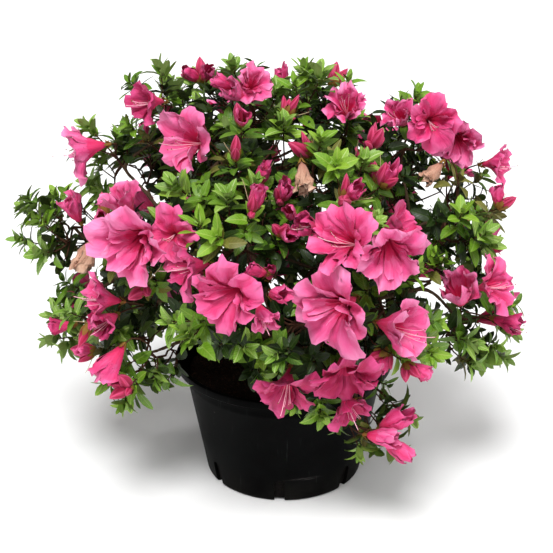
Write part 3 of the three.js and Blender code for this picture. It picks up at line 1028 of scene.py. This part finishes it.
def slot_cutters():
    """Rounded drainage slots round the foot of the wall, one cutter mesh for all."""
    depth, width, height = SLOT
    half = [(-width / 2, -height), (width / 2, -height)]
    half += arc((0, height - width / 2), width / 2, 0, 180, 9)
    vertices, faces = [], []
    for i in range(SLOT_COUNT):
        turn = Matrix.Rotation(FIRST_SLOT + i * math.tau / SLOT_COUNT, 4, "Z")
        start, n = len(vertices), len(half)
        for x in (POT_BASE - depth, POT_BASE + depth):
            vertices += [turn @ Vector((x, y, z)) for y, z in half]
        faces += [(start + j, start + (j + 1) % n, start + n + (j + 1) % n, start + n + j) for j in range(n)]
        faces += [tuple(start + j for j in reversed(range(n))), tuple(start + n + j for j in range(n))]
    return shown("slot_cutters", mesh_of("slot_cutters", vertices, faces))


def make_pot():
    pot = shown("pot_moulded", turned("pot_moulded", pot_profile(), 168))
    cutters = slot_cutters()
    cut = pot.modifiers.new("slots", "BOOLEAN")
    cut.operation = "DIFFERENCE"
    cut.solver = "EXACT"
    cut.object = cutters
    plain_piece(pot)
    bpy.data.objects.remove(cutters)
    pot.data.materials.clear()
    pot.data.materials.append(MATERIALS["pot"])
    smooth_by_angle(pot.data, 32)
    return belongs(pot, "pot_plastic", "pot")


def smooth_by_angle(mesh, degrees):
    mesh.shade_smooth()
    mesh.set_sharp_from_angle(angle=math.radians(degrees))


def peat_height(x, y):
    """The peat's uneven top: hollows and lumps, a little high round the stem."""
    lumps = noise.fractal(Vector((x, y, 0.3)) * 60, 0.8, 2.1, 4) * 2.2 * MM
    stem = 5 * MM * math.exp(-(x * x + y * y) / (30 * MM) ** 2)
    return PEAT_TOP - 2.5 * MM + lumps + stem


def make_peat():
    """The root ball: a lumpy top inside the pot's wall, straight sides and a flat foot."""
    low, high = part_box("root_ball")
    edge, segments, rings = high.x - 0.3 * MM, 128, 44
    vertices, faces = [], []
    for i in range(1, rings + 1):
        for j in range(segments):
            angle, radius = j * math.tau / segments, edge * i / rings
            x, y = radius * math.cos(angle), radius * math.sin(angle)
            vertices.append((x, y, peat_height(x, y)))
    foot = POT_BASE - 4 * MM
    vertices += [(foot * math.cos(j * math.tau / segments), foot * math.sin(j * math.tau / segments), low.z)
                 for j in range(segments)]
    faces += grid_faces(rings + 1, segments, closed=True)
    vertices += [(0, 0, peat_height(0, 0)), (0, 0, low.z)]
    for j in range(segments):
        after = (j + 1) % segments
        faces.append((len(vertices) - 2, j, after))
        faces.append((len(vertices) - 1, rings * segments + after, rings * segments + j))
    peat = shown("peat_ball", mesh_of("peat_ball", vertices, faces))
    peat.data.shade_smooth()
    peat.data.materials.append(MATERIALS["peat"])
    peat.data.materials.append(MATERIALS["damp"])
    for face in peat.data.polygons:
        face.material_index = int(face.center.z < high.z - 12 * MM)
    belongs(peat, "peat", "root_ball")
    top = mesh_of("peat_top", vertices[: rings * segments], faces[: (rings - 1) * segments])
    shapes = shape_collection("crumb_shapes", [lump_shape(f"crumb_{i}", 300 + i) for i in range(4)])
    inputs = {"Shapes": shapes, "Density": 90000.0, "Largest": 0.0042, "Seed": 7}
    inputs["Material"] = MATERIALS["crumb"]
    return belongs(grown("peat_crumbs", top, TREES["scatter"], inputs), "peat")


# ------------------------------------------------------------------------------ trunk and boughs


def swept(points, radii, sides):
    """A closed tube along points, as vertices and faces."""
    points = np.array(points)
    tangents = np.gradient(points, axis=0)
    tangents /= np.linalg.norm(tangents, axis=1)[:, None]
    side = np.cross(tangents[0], [0.3, 0.8, 0.1])
    vertices = []
    for point, tangent, radius in zip(points, tangents, radii):
        side = side - tangent * side.dot(tangent)
        side /= np.linalg.norm(side)
        other = np.cross(tangent, side)
        for j in range(sides):
            angle = j * math.tau / sides
            vertices.append(point + radius * (math.cos(angle) * side + math.sin(angle) * other))
    faces = [f[::-1] for f in grid_faces(len(points), sides, closed=True)]
    faces.append(tuple(reversed(range(sides))))
    faces.append(tuple((len(points) - 1) * sides + j for j in range(sides)))
    return vertices, faces


def smoothed_path(points, radii, step):
    """The same path with a point about every step, rounded between its knots."""
    ends = np.concatenate([[2 * points[0] - points[1]], points, [2 * points[-1] - points[-2]]])
    made, girths = [], []
    for i in range(1, len(ends) - 2):
        count = max(2, int(np.linalg.norm(ends[i + 1] - ends[i]) / step))
        for t in np.arange(count) / count:
            a, b, c, d = ends[i - 1 : i + 3]
            square, cube = 2 * a - 5 * b + 4 * c - d, 3 * b - a - 3 * c + d
            made.append(0.5 * (2 * b + (c - a) * t + square * t**2 + cube * t**3))
            girths.append(radii[i - 1] + (radii[i] - radii[i - 1]) * t)
    return np.array(made + [points[-1]]), np.array(girths + [radii[-1]])


LIMB_PATHS = {node: limb_path(node) for node in LIMBS}
TRUNK_PATH = limb_path("trunk")


def make_bark(hub_paths):
    """Trunk, boughs and the limbs that lead on into the masses, grown together as one barked body."""
    vertices, faces = [], []
    trunk_points, trunk_radii = smoothed_path(*TRUNK_PATH, 2 * MM)
    root = trunk_points[0] - np.array([0, 0, 6 * MM])
    trunk_girths = np.concatenate([[trunk_radii[0] * 1.15], trunk_radii])
    tubes = [(np.concatenate([[root], trunk_points]), trunk_girths, 20)]
    knuckle = trunk_points[-1] - np.array([0, 0, 4 * MM])
    for node, (points, radii) in LIMB_PATHS.items():
        line, girths = smoothed_path(points, radii, 3 * MM)
        back = line[0] - line[1]
        foot = knuckle if "_side_" not in node else line[0] + back / np.linalg.norm(back) * 4.5 * MM
        tubes.append((np.concatenate([[foot], line]), np.concatenate([[girths[0]], girths]), 10))
    tubes += [(line, girths, 8) for line, girths in hub_paths]
    for line, girths, sides in tubes:
        wobble = 1 + 0.09 * np.array([noise.noise(Vector(p) * 90) for p in line])
        placed, quads = swept(line, girths * wobble, sides)
        faces += [tuple(v + len(vertices) for v in f) for f in quads]
        vertices += placed
    bark = shown("bark", mesh_of("bark", vertices, faces))
    remesh = bark.modifiers.new("grown_together", "REMESH")
    remesh.mode = "VOXEL"
    remesh.voxel_size = 0.95 * MM
    smooth = bark.modifiers.new("healed", "SMOOTH")
    smooth.iterations = 2
    plain_piece(bark)
    mesh = bark.data
    bpy.data.objects.remove(bark)
    piece = grown("bark_relief", mesh, TREES["relief"], {"Depth": 0.0013, "Material": MATERIALS["bark"]})
    return belongs(piece, "bark", "trunk", *LIMBS)


# ------------------------------------------------------------------------------------ the crown


LEAF_SHAPES = [
    (0.21, 0.25, 0.22, 0.0),
    (0.23, 0.35, 0.36, 0.25),
    (0.19, 0.15, 0.1, -0.3),
    (0.22, 0.3, 0.46, 0.12),
]
BLOOM_FOOT = 27 / 76
TIP_DEPTH = 7 * MM


class Crown:
    """What grows on the crown: lists of rows for each kind of thing, and the tips that twigs run to."""

    def __init__(self):
        self.leaves = {tone: [] for tone in ("young", "fresh", "mature", "olive", "dark")}
        self.blooms = {tone: [] for tone in ("light", "bright", "deep")}
        self.wilts = []
        self.buds = []
        self.cups = []
        self.threads = []
        self.styles = []
        self.anthers = []
        self.tips = []
        self.heads = []
        self.ruffs = []


def shoot_axis(place, mass, rng, jitter=0.2):
    """Shoots point out of their mass and of the crown, and turn up, except on the hanging spray."""
    out = (place - MIDDLES[mass]).normalized()
    radial = (place - CROWN_CENTRE).normalized()
    lift = 0.42 if radial.z > 0 else 0.12
    if mass == "hanging_spray":
        lift = -0.7
    wander = Vector(rng.normal(0, jitter, 3))
    return (0.45 * out + 0.6 * radial + lift * UP + wander).normalized()


def add_threads(crown, rng, centre, turn, scale):
    """Stamens and the long pistil, from the flower's foot out of its throat, curving up at the end."""
    matrix = Euler(turn).to_matrix()
    for i in range(5):
        long = i == 0
        angle = rng.uniform(0, math.tau)
        lean = Vector((math.cos(angle), math.sin(angle), 0)) * (2 if long else rng.uniform(2, 6))
        sag = Vector((-7, 0, 0)) * rng.uniform(0.7, 1.2)
        rise = Vector((4, 0, 0)) * rng.uniform(0.4, 1.2)
        reach = 27 if long else rng.uniform(8, 19)
        knots = [Vector((0, 0, -25)), Vector((0, 0, -8)) + lean * 0.4 + sag * 0.3]
        knots += [Vector((0, 0, reach * 0.45)) + lean + sag, Vector((0, 0, reach)) + lean * 1.3 + sag + rise]
        line = bezier(*knots, 9) * scale / 76
        placed = [centre + matrix @ Vector(p) for p in line]
        girth = 0.5 * MM if long else 0.3 * MM
        crown.threads.append((placed, [girth * (1 - 0.35 * j / 8) for j in range(9)]))
        tip_turn = standing((placed[-1] - placed[-2]).normalized())
        crown.anthers.append((placed[-1], tip_turn, (1.2 if long else 1.5) * MM, 0, 0))


SLACK = [0.03 * (high - low) + 8 * MM for low, high in zip(*CAD_BOX)]


def held(place, face, radius, depth):
    """place, moved in where a thing of this radius and depth would leave the plant's bounds."""
    kept = Vector(place)
    for k in range(3):
        reach = radius * math.sqrt(max(0, 1 - face[k] ** 2)) + depth * abs(face[k])
        kept[k] = max(CAD_BOX[0][k] - SLACK[k] + reach, min(CAD_BOX[1][k] + SLACK[k] - reach, kept[k]))
    return kept


def add_bloom(crown, rng, out, face, size, form, tone, seen=False):
    place, mass = on_crown(out, nearest=True)
    scale = size * 0.97 * MM
    opened = FORMS[form][0][0]
    centre = held(place + out * MM, face, scale * (0.2 + 0.36 * opened), scale * (0.42 - 0.3 * opened))
    turn = facing(face, rng.uniform(-0.3, 0.3))
    kind = int(rng.choice(KINDS[form]))
    row = (centre, turn, scale, kind, 0)
    foot = centre - face * scale * BLOOM_FOOT
    if form == "wilted":
        crown.wilts.append(row)
    else:
        crown.blooms[tone].append(row)
        if form in ("open", "trumpet") or rng.random() < 0.3:
            add_threads(crown, rng, centre, turn, scale)
    crown.cups.append((foot - face * 3 * MM, standing(face), 7 * MM, 1, 0))
    crown.tips.append((foot - face * 2 * MM, face, mass, 0.9 * MM))
    crown.heads.append((centre, face, scale / 2, form, seen))
    crown.ruffs.append((foot - face * 12 * MM, standing(face, rng.uniform(0, 6.3)), 29 * MM, 0, 6))


def add_old_style(crown, rng, place, axis):
    """A thin style left over from a fallen flower."""
    way = (axis + Vector(rng.normal(0, 0.6, 3))).normalized()
    reach = rng.uniform(16, 32) * MM
    bend = Vector(rng.normal(0, 4 * MM, 3))
    far, end = place + way * reach * 0.7 + bend, place + way * reach + bend
    line = bezier(place, place + way * reach * 0.4, far, end, 7)
    crown.styles.append(([held(p, UP, 0, 0) for p in line], list(np.linspace(0.5, 0.3, 7) * MM)))


def add_buds(crown, rng, place, axis, mass, count):
    """A cluster of buds at a shoot's tip, each in its scales, with a whorl of leaves under them."""
    place = held(place, axis, 14 * MM, 30 * MM)
    for i in range(count):
        tilt = Vector(rng.normal(0, 0.4 if count > 1 else 0.12, 3))
        point = (axis + tilt).normalized()
        foot = place + point * 3 * MM
        turn = standing(point, rng.uniform(0, 6.3))
        if rng.random() < 0.13:
            size = rng.uniform(36, 48) * MM
            centre = held(foot + point * size * BLOOM_FOOT, point, 0.25 * size, 0.42 * size)
            crown.blooms["bright"].append((centre, turn, size, int(rng.choice(KINDS["bursting"])), 0))
            cup = 9 * MM
        else:
            size = rng.uniform(14, 26) * MM
            crown.buds.append((foot, turn, size, int(rng.integers(0, 3)), 0))
            cup = size * rng.uniform(0.4, 0.6)
        crown.cups.append((foot - point * 0.8 * MM, turn, cup, 0, 0))
    for _ in range(int(rng.integers(0, 3))):
        add_old_style(crown, rng, place, axis)
    crown.tips.append((place, axis, mass, 0.8 * MM))
    row = (place - axis * 3 * MM, standing(axis, rng.uniform(0, 6.3)), 27 * MM, 0, 6)
    crown.leaves[rng.choice(["fresh", "mature", "olive"], p=[0.42, 0.4, 0.18])].append(row)


# How much of its width each form keeps clear of leaves towards the camera.
SEEN_SHARE = {"open": 0.7, "double": 0.75, "full": 0.7, "trumpet": 0.62, "bell": 0.5}
SEEN_SHARE.update({"bursting": 0.25, "wilted": 0.4})


def clear_of_heads(crown, place, margin):
    """True if a shoot at place stands neither in front of a bloom nor inside its throat."""
    for centre, face, radius, form, seen in crown.heads:
        offset = place - centre
        if seen:
            view = (EYE - centre).normalized()
            nearer = offset.dot(view)
            if nearer > 0 and (offset - view * nearer).length < radius * SEEN_SHARE[form] + margin:
                return False
        ahead = offset.dot(face)
        aside = (offset - face * ahead).length
        if -10 * MM < ahead < 60 * MM and aside < radius * (0.62 if form == "bell" else 0.86) + margin:
            return False
        if -42 * MM < ahead <= -10 * MM and aside < 26 * MM:
            return False
    return True


# Where sky shows through the crown: sideways and height at the crown's middle, and radius, in mm. A
# sight line from the camera through each one is kept free of leaves.
WINDOWS = [
    (-155, 326, 16),
    (-201, 233, 7),
    (-245, 344, 16),
    (-228, 347, 8),
    (-132, 135, 8),
    (-92, 118, 6),
    (-60, 108, 7),
    (0, 357, 6),
    (149, 313, 8),
    (159, 207, 10),
]
EYE = Vector((-0.008, -1.2561, 0.7559))


def off_sight(place, side, height):
    """The way and distance of place from one sight line."""
    line = (Vector((side * MM, 0, height * MM)) - EYE).normalized()
    offset = place - EYE
    return offset - line * offset.dot(line)


def in_window(place, margin=15 * MM):
    return any(off_sight(place, *row[:2]).length < row[2] * MM + margin for row in WINDOWS)


def add_rosette(crown, rng, place, axis, mass, bright):
    """A leafy shoot: a young whorl at its tip and an older one under it."""
    place = held(place, axis, 14 * MM, 27 * MM)
    spin = rng.uniform(0, 6.3)
    size = (rng.uniform(27, 33) if bright else rng.uniform(23, 30)) * MM
    tone = "young" if bright or rng.random() < 0.3 else rng.choice(["fresh", "mature"], p=[0.7, 0.3])
    crown.leaves[tone].append((place, standing(axis, spin), size, 0, int(rng.integers(6, 10))))
    older = "fresh" if bright and rng.random() < 0.5 else rng.choice(["mature", "olive"], p=[0.88, 0.12])
    under = place - axis * rng.uniform(6, 10) * MM
    crown.leaves[older].append((under, standing(axis, spin + 1), 30 * MM, 0, int(rng.integers(4, 7))))
    crown.tips.append((place - axis * 2 * MM, axis, mass, 0.75 * MM))


def ball_directions(count, rng, jitter):
    """Directions spread evenly over a ball, each moved a little."""
    i = np.arange(count)
    z = 1 - 2 * (i + 0.5) / count
    angle = i * GOLDEN_ANGLE
    flat = np.sqrt(1 - z * z)
    spots = np.stack([flat * np.cos(angle), flat * np.sin(angle), z], -1) + rng.normal(0, jitter, (count, 3))
    spots = spots / np.linalg.norm(spots, axis=1)[:, None]
    return [Vector(s) for s in spots[rng.permutation(count)]]


def back_blooms(rng):
    """Blooms for the part of the crown that has none of its own, spaced out at random."""
    taken = [direction(row[0], row[1]) for row in BLOOMS]
    toward = (EYE - CROWN_CENTRE).normalized()
    made = []
    for out in ball_directions(900, rng, 0.02):
        limit = -0.3 if out.z > 0.5 else -0.02
        if out.dot(toward) > limit or out.z < -0.3 or on_crown(out)[0] is None:
            continue
        if all(out.angle(other) > math.radians(19) for other in taken):
            taken.append(out)
            face = (out + 0.25 * UP + Vector(rng.normal(0, 0.22, 3))).normalized()
            form = rng.choice(["open", "double", "full", "trumpet", "bell"], p=[0.2, 0.25, 0.22, 0.2, 0.13])
            # on the back the tones are dealt at random, the shaded deep one too
            tone = rng.choice(["light", "bright", "deep"], p=[0.36, 0.48, 0.16])
            made.append((out, face, rng.uniform(66, 84), str(form), str(tone)))
    return made


def plant_blooms(crown):
    rng = draws(1)
    wilted = [(*row, "wilted", None) for row in WILTED]
    for azimuth, elevation, face_azimuth, face_elevation, size, form, tone in BLOOMS + wilted:
        face = direction(face_azimuth, face_elevation)
        add_bloom(crown, rng, direction(azimuth, elevation), face, size, form, tone, seen=True)
    for out, face, size, form, tone in back_blooms(draws(2)):
        add_bloom(crown, rng, out, face, size, form, tone)
    crown.leaves["mature"] += [ruff for ruff in crown.ruffs if clear_of_heads(crown, ruff[0], 10 * MM)]


OUTER_SPACING = 26 * MM
# Above this height every shoot sits TIP_DEPTH below the masses' skin.
EVEN_ABOVE = 425 * MM
# The share of shoots that end in a bud cluster. Masses that aren't named take the last one.
BUD_SHARES = {
    "upper_front_right": 0.6,
    "upper_front_left": 0.45,
    "shoulder_front": 0.5,
    "shoulder_front_right": 0.45,
    "shoulder_front_left": 0.3,
    "waist_front": 0.2,
    "waist_front_right": 0.2,
    "skirt_front": 0.0,
    "crest_left": 0.2,
    "crest_right": 0.0,
    "upper_left": 0.0,
    "upper_right": 0.1,
    "shoulder_left": 0.0,
    "shoulder_right": 0.1,
    "waist_left": 0.0,
    "waist_right": 0.1,
    "skirt_left": 0.05,
    "skirt_right": 0.1,
    "hanging_spray": 0.0,
    "others": 0.22,
}


def crowded(kept, spot, spacing):
    """True if a point that is already kept lies nearer to spot than spacing."""
    return len(kept) and np.min(np.linalg.norm(kept - np.array(spot), axis=1)) < spacing


def plant_shoots(crown):
    """Rosettes and bud clusters all over the crown's outside."""
    rng = draws(3)
    kept = np.zeros((0, 3))
    for out in ball_directions(4200, rng, 0.012):
        place, mass = on_crown(out)
        if place is None:
            continue
        axis = shoot_axis(place, mass, rng)
        depth = TIP_DEPTH if place.z > EVEN_ABOVE else rng.uniform(2, 22) * MM
        tip = place - axis * depth
        if crowded(kept, tip, OUTER_SPACING):
            continue
        if not clear_of_heads(crown, place, 5 * MM):
            continue
        if in_window(tip) or crosses_window(tip, mass):
            continue
        kept = np.append(kept, [tip], 0)
        share = BUD_SHARES.get(mass, BUD_SHARES["others"])
        if rng.random() < share:
            add_buds(crown, rng, tip, axis, mass, int(rng.integers(2, 6)))
        else:
            add_rosette(crown, rng, tip, axis, mass, rng.random() < 0.25)


# Inner layers of leaves: depth below the skin, spacing, leaves in a whorl and their length.
LAYERS = [(30 * MM, 26 * MM, 7, 27 * MM), (56 * MM, 31 * MM, 7, 28 * MM)]


def crosses_window(place, mass):
    """True if a twig from the mass's hub to place would run across an open sight line."""
    return any(in_window(place.lerp(HUBS[mass], share), -4 * MM) for share in (0.2, 0.4, 0.6, 0.8))


def fill_inside(crown):
    """Leaves on shoots below the outside, layer by layer: mature and olive ones near the skin, and most of
    them in painted shade, a near-black green that stands for the shade inside the crown.
    """
    rng = draws(4)
    for depth, spacing, count, size in LAYERS:
        kept = np.zeros((0, 3))
        for out in ball_directions(2600, rng, 0.015):
            place, mass = on_crown(out)
            if place is None:
                continue
            spot = place - (place - CROWN_CENTRE).normalized() * depth * rng.uniform(0.8, 1.2)
            if in_window(spot) or crosses_window(spot, mass) or not clear_of_heads(crown, spot, 4 * MM):
                continue
            if crowded(kept, spot, spacing):
                continue
            kept = np.append(kept, [spot], 0)
            axis = shoot_axis(place, mass, rng, 0.35)
            # most inner leaves, and all of the lower layer, take the painted-shade tone: near-black green for
            # the shade inside the crown
            shallow = rng.choice(["mature", "olive", "dark"], p=[0.36, 0.1, 0.54])
            tone = shallow if depth < 40 * MM else "dark"
            crown.leaves[tone].append((spot, standing(axis, rng.uniform(0, 6.3)), size, 0, count))
            crown.tips.append((spot, axis, mass, 0.7 * MM))


def grow_limbs():
    """A limb from the nearest bough on into each mass."""
    anchors = []
    for points, radii in LIMB_PATHS.values():
        for i in (3, 5, 7):
            ahead = points[i] - points[i - 1]
            anchors.append((Vector(points[i]), Vector(ahead).normalized(), float(radii[i])))
    paths = []
    for mass, hub in HUBS.items():
        cost = [(hub - p).length * (1.35 - 0.35 * (hub - p).normalized().dot(a)) for p, a, _ in anchors]
        point, ahead, radius = anchors[int(np.argmin(cost))]
        span = (hub - point).length
        out = (hub - CROWN_CENTRE).normalized()
        start = point - ahead * 2 * MM
        count = max(5, int(span / (5 * MM)))
        line = bezier(start, point + ahead * span * 0.35, hub - out * span * 0.25, hub, count)
        paths.append((line, np.linspace(min(radius, 2.1 * MM), 1.5 * MM, len(line))))
    return paths


def round_windows(line):
    """Bows a twig out of the sight lines that are kept open."""
    bowed = []
    for point in line:
        place = Vector(point)
        for side, height, radius in WINDOWS:
            aside = off_sight(place, side, height)
            if aside.length < radius * MM:
                place += aside.normalized() * (radius * MM - aside.length)
        bowed.append(place)
    return bowed


def grow_twigs(crown):
    """Sprays: the tips of a mass in groups, each group forking from a twig that leaves the mass's hub."""
    rng = draws(5)
    paths = []
    for mass, hub in HUBS.items():
        tips = [t for t in crown.tips if t[2] == mass]
        if not tips:
            continue
        places = np.array([t[0] for t in tips])
        groups = max(1, round(len(tips) / 5))
        seeds = places[rng.choice(len(places), groups, replace=False)]
        for _ in range(6):
            nearest = np.argmin(np.linalg.norm(places[:, None] - seeds[None], axis=2), axis=1)
            for g in np.unique(nearest):
                seeds[g] = places[nearest == g].mean(0)
        for g in range(groups):
            members = [tips[i] for i in np.flatnonzero(nearest == g)]
            if not members:
                continue
            lean = sum((t[1] for t in members), Vector()).normalized()
            fork = (Vector(seeds[g]) - lean * 26 * MM).lerp(hub, 0.3)
            ahead = (fork - hub).normalized()
            bend = hub.lerp(fork, 0.5) + Vector(rng.normal(0, 3 * MM, 3))
            line = bezier(hub, bend, fork - ahead * 8 * MM, fork, 6)
            paths.append((round_windows(line), np.linspace(1.5 * MM, 1.05 * MM, 6)))
            for place, axis, _, girth in members:
                span = (place - fork).length
                mid = fork + ahead * span * 0.35 + Vector(rng.normal(0, 2 * MM, 3))
                line = bezier(fork, mid, place - axis * span * 0.35, place, 6)
                paths.append((round_windows(line), np.linspace(girth * 1.3, girth * 0.8, 6)))
    return paths


# How far the inner and the outer leaves of a whorl lean out from its shoot, in radians.
WHORL_ANGLES = {
    "young": (0.25, 1.15),
    "fresh": (0.3, 1.25),
    "mature": (0.8, 1.65),
    "dark": (0.5, 1.7),
    "olive": (0.6, 1.5),
}


def make_leaves(crown):
    meshes = [leaf_shape(f"leaf_{i}", *row) for i, row in enumerate(LEAF_SHAPES)]
    inputs = {"Shapes": shape_collection("leaf_shapes", meshes), "Shape Count": len(meshes)}
    inputs.update({"Drop": 0.42, "Smallest": 0.5})
    for i, (tone, rows) in enumerate(crown.leaves.items()):
        inputs["Inner Angle"], inputs["Outer Angle"] = WHORL_ANGLES[tone]
        inputs.update({"Seed": 20 + i, "Material": MATERIALS[tone]})
        name = f"leaves_{tone}"
        piece = grown(name, point_mesh(name, rows), TREES["whorl"], inputs)
        belongs(piece, "leaf", *MASSES)


def make_blooms(crown):
    inputs = {"Shapes": bloom_shapes(), "Crinkle": 0.018, "Crinkle Size": 110.0}
    inputs["Inner Material"] = MATERIALS["throat"]
    for tone, rows in crown.blooms.items():
        inputs["Material"] = MATERIALS[tone]
        name = f"petals_{tone}"
        belongs(grown(name, point_mesh(name, rows), TREES["deal"], inputs), "petal")
    inputs.update({"Crinkle": 0.03, "Material": MATERIALS["wilt"], "Inner Material": MATERIALS["wilt"]})
    belongs(grown("petals_wilted", point_mesh("petals_wilted", crown.wilts), TREES["deal"], inputs), "petal")


def make_small_things(crown):
    """Buds, their scales, stamens and anthers."""
    buds = [
        bud_shape("bud_0", 0.19, 1.1, 0.05),
        bud_shape("bud_1", 0.22, 0.8, 0.1),
        bud_shape("bud_2", 0.16, 1.5, 0.0),
    ]
    cups = [
        cup_shape("cup_0", 5, 0.48, (0.26, 0.44, 0.44), 0.42),
        cup_shape("cup_1", 5, 0.36, (0.2, 0.42, 0.62), 0.95),
    ]
    sets = [
        ("buds", crown.buds, buds, "bud", "petal"),
        ("bud_scales", crown.cups, cups, "scale", "leaf"),
        ("anthers", crown.anthers, [lump_shape("anther", 400)], "anther", "petal"),
    ]
    for name, rows, meshes, material, slot in sets:
        inputs = {"Shapes": shape_collection(f"{name}_shapes", meshes), "Material": MATERIALS[material]}
        inputs["Inner Material"] = MATERIALS[material]
        belongs(grown(name, point_mesh(name, rows), TREES["deal"], inputs), slot)
    inputs = {"Sides": 5, "Material": MATERIALS["thread"]}
    belongs(grown("stamens", rod_mesh("stamens", crown.threads), TREES["rod"], inputs), "petal")
    inputs = {"Sides": 4, "Material": MATERIALS["style"]}
    belongs(grown("old_styles", rod_mesh("old_styles", crown.styles), TREES["rod"], inputs), "leaf")


TREES = {
    "whorl": whorl_tree(),
    "deal": deal_tree(),
    "rod": rod_tree(),
    "scatter": scatter_tree(),
    "relief": relief_tree(),
}


def make_crown():
    crown = Crown()
    plant_blooms(crown)
    plant_shoots(crown)
    fill_inside(crown)
    make_bark(grow_limbs())
    twigs = rod_mesh("twigs", grow_twigs(crown))
    belongs(grown("twigs", twigs, TREES["rod"], {"Sides": 5, "Material": MATERIALS["twig"]}), "bark")
    make_leaves(crown)
    make_blooms(crown)
    make_small_things(crown)


# ---------------------------------------------------------------------------------------- studio


FLOOR = 40.0
LENS = 85.67
CAMERA_DIP = 23.1


def add_sun(name, azimuth, elevation, energy, angle):
    light = bpy.data.lights.new(name, "SUN")
    light.energy = energy
    light.angle = math.radians(angle)
    lamp = bpy.data.objects.new(name, light)
    lamp.rotation_euler = direction(azimuth, elevation).to_track_quat("Z", "Y").to_euler()
    bpy.context.scene.collection.objects.link(lamp)


def make_studio():
    """Pale floor, soft white surroundings, a key light, a broad fill light and the camera."""
    corners = [(-FLOOR, -FLOOR, 0), (FLOOR, -FLOOR, 0), (FLOOR, FLOOR, 0), (-FLOOR, FLOOR, 0)]
    floor = mesh_of("floor", corners, [(0, 1, 2, 3)])
    floor.materials.append(floor_material())
    shown("floor", floor)
    scene = bpy.context.scene
    world = bpy.data.worlds.new("studio")
    world.use_nodes = True
    world.node_tree.nodes["Background"].inputs["Color"].default_value = (1.0, 1.0, 1.0, 1.0)
    world.node_tree.nodes["Background"].inputs["Strength"].default_value = 0.45
    scene.world = world
    scene.view_settings.view_transform = "Standard"
    add_sun("key", -102, 60, 2.9, 22)
    add_sun("fill", -48, 42, 0.9, 60)
    lens = bpy.data.cameras.new("camera")
    lens.sensor_width = 36
    lens.lens = LENS
    lens.clip_start, lens.clip_end = 0.05, 60
    camera = bpy.data.objects.new("camera", lens)
    camera.location = EYE
    camera.rotation_euler = (math.radians(90 - CAMERA_DIP), 0, 0)
    scene.collection.objects.link(camera)
    scene.camera = camera


make_studio()
make_pot()
make_peat()
make_crown()
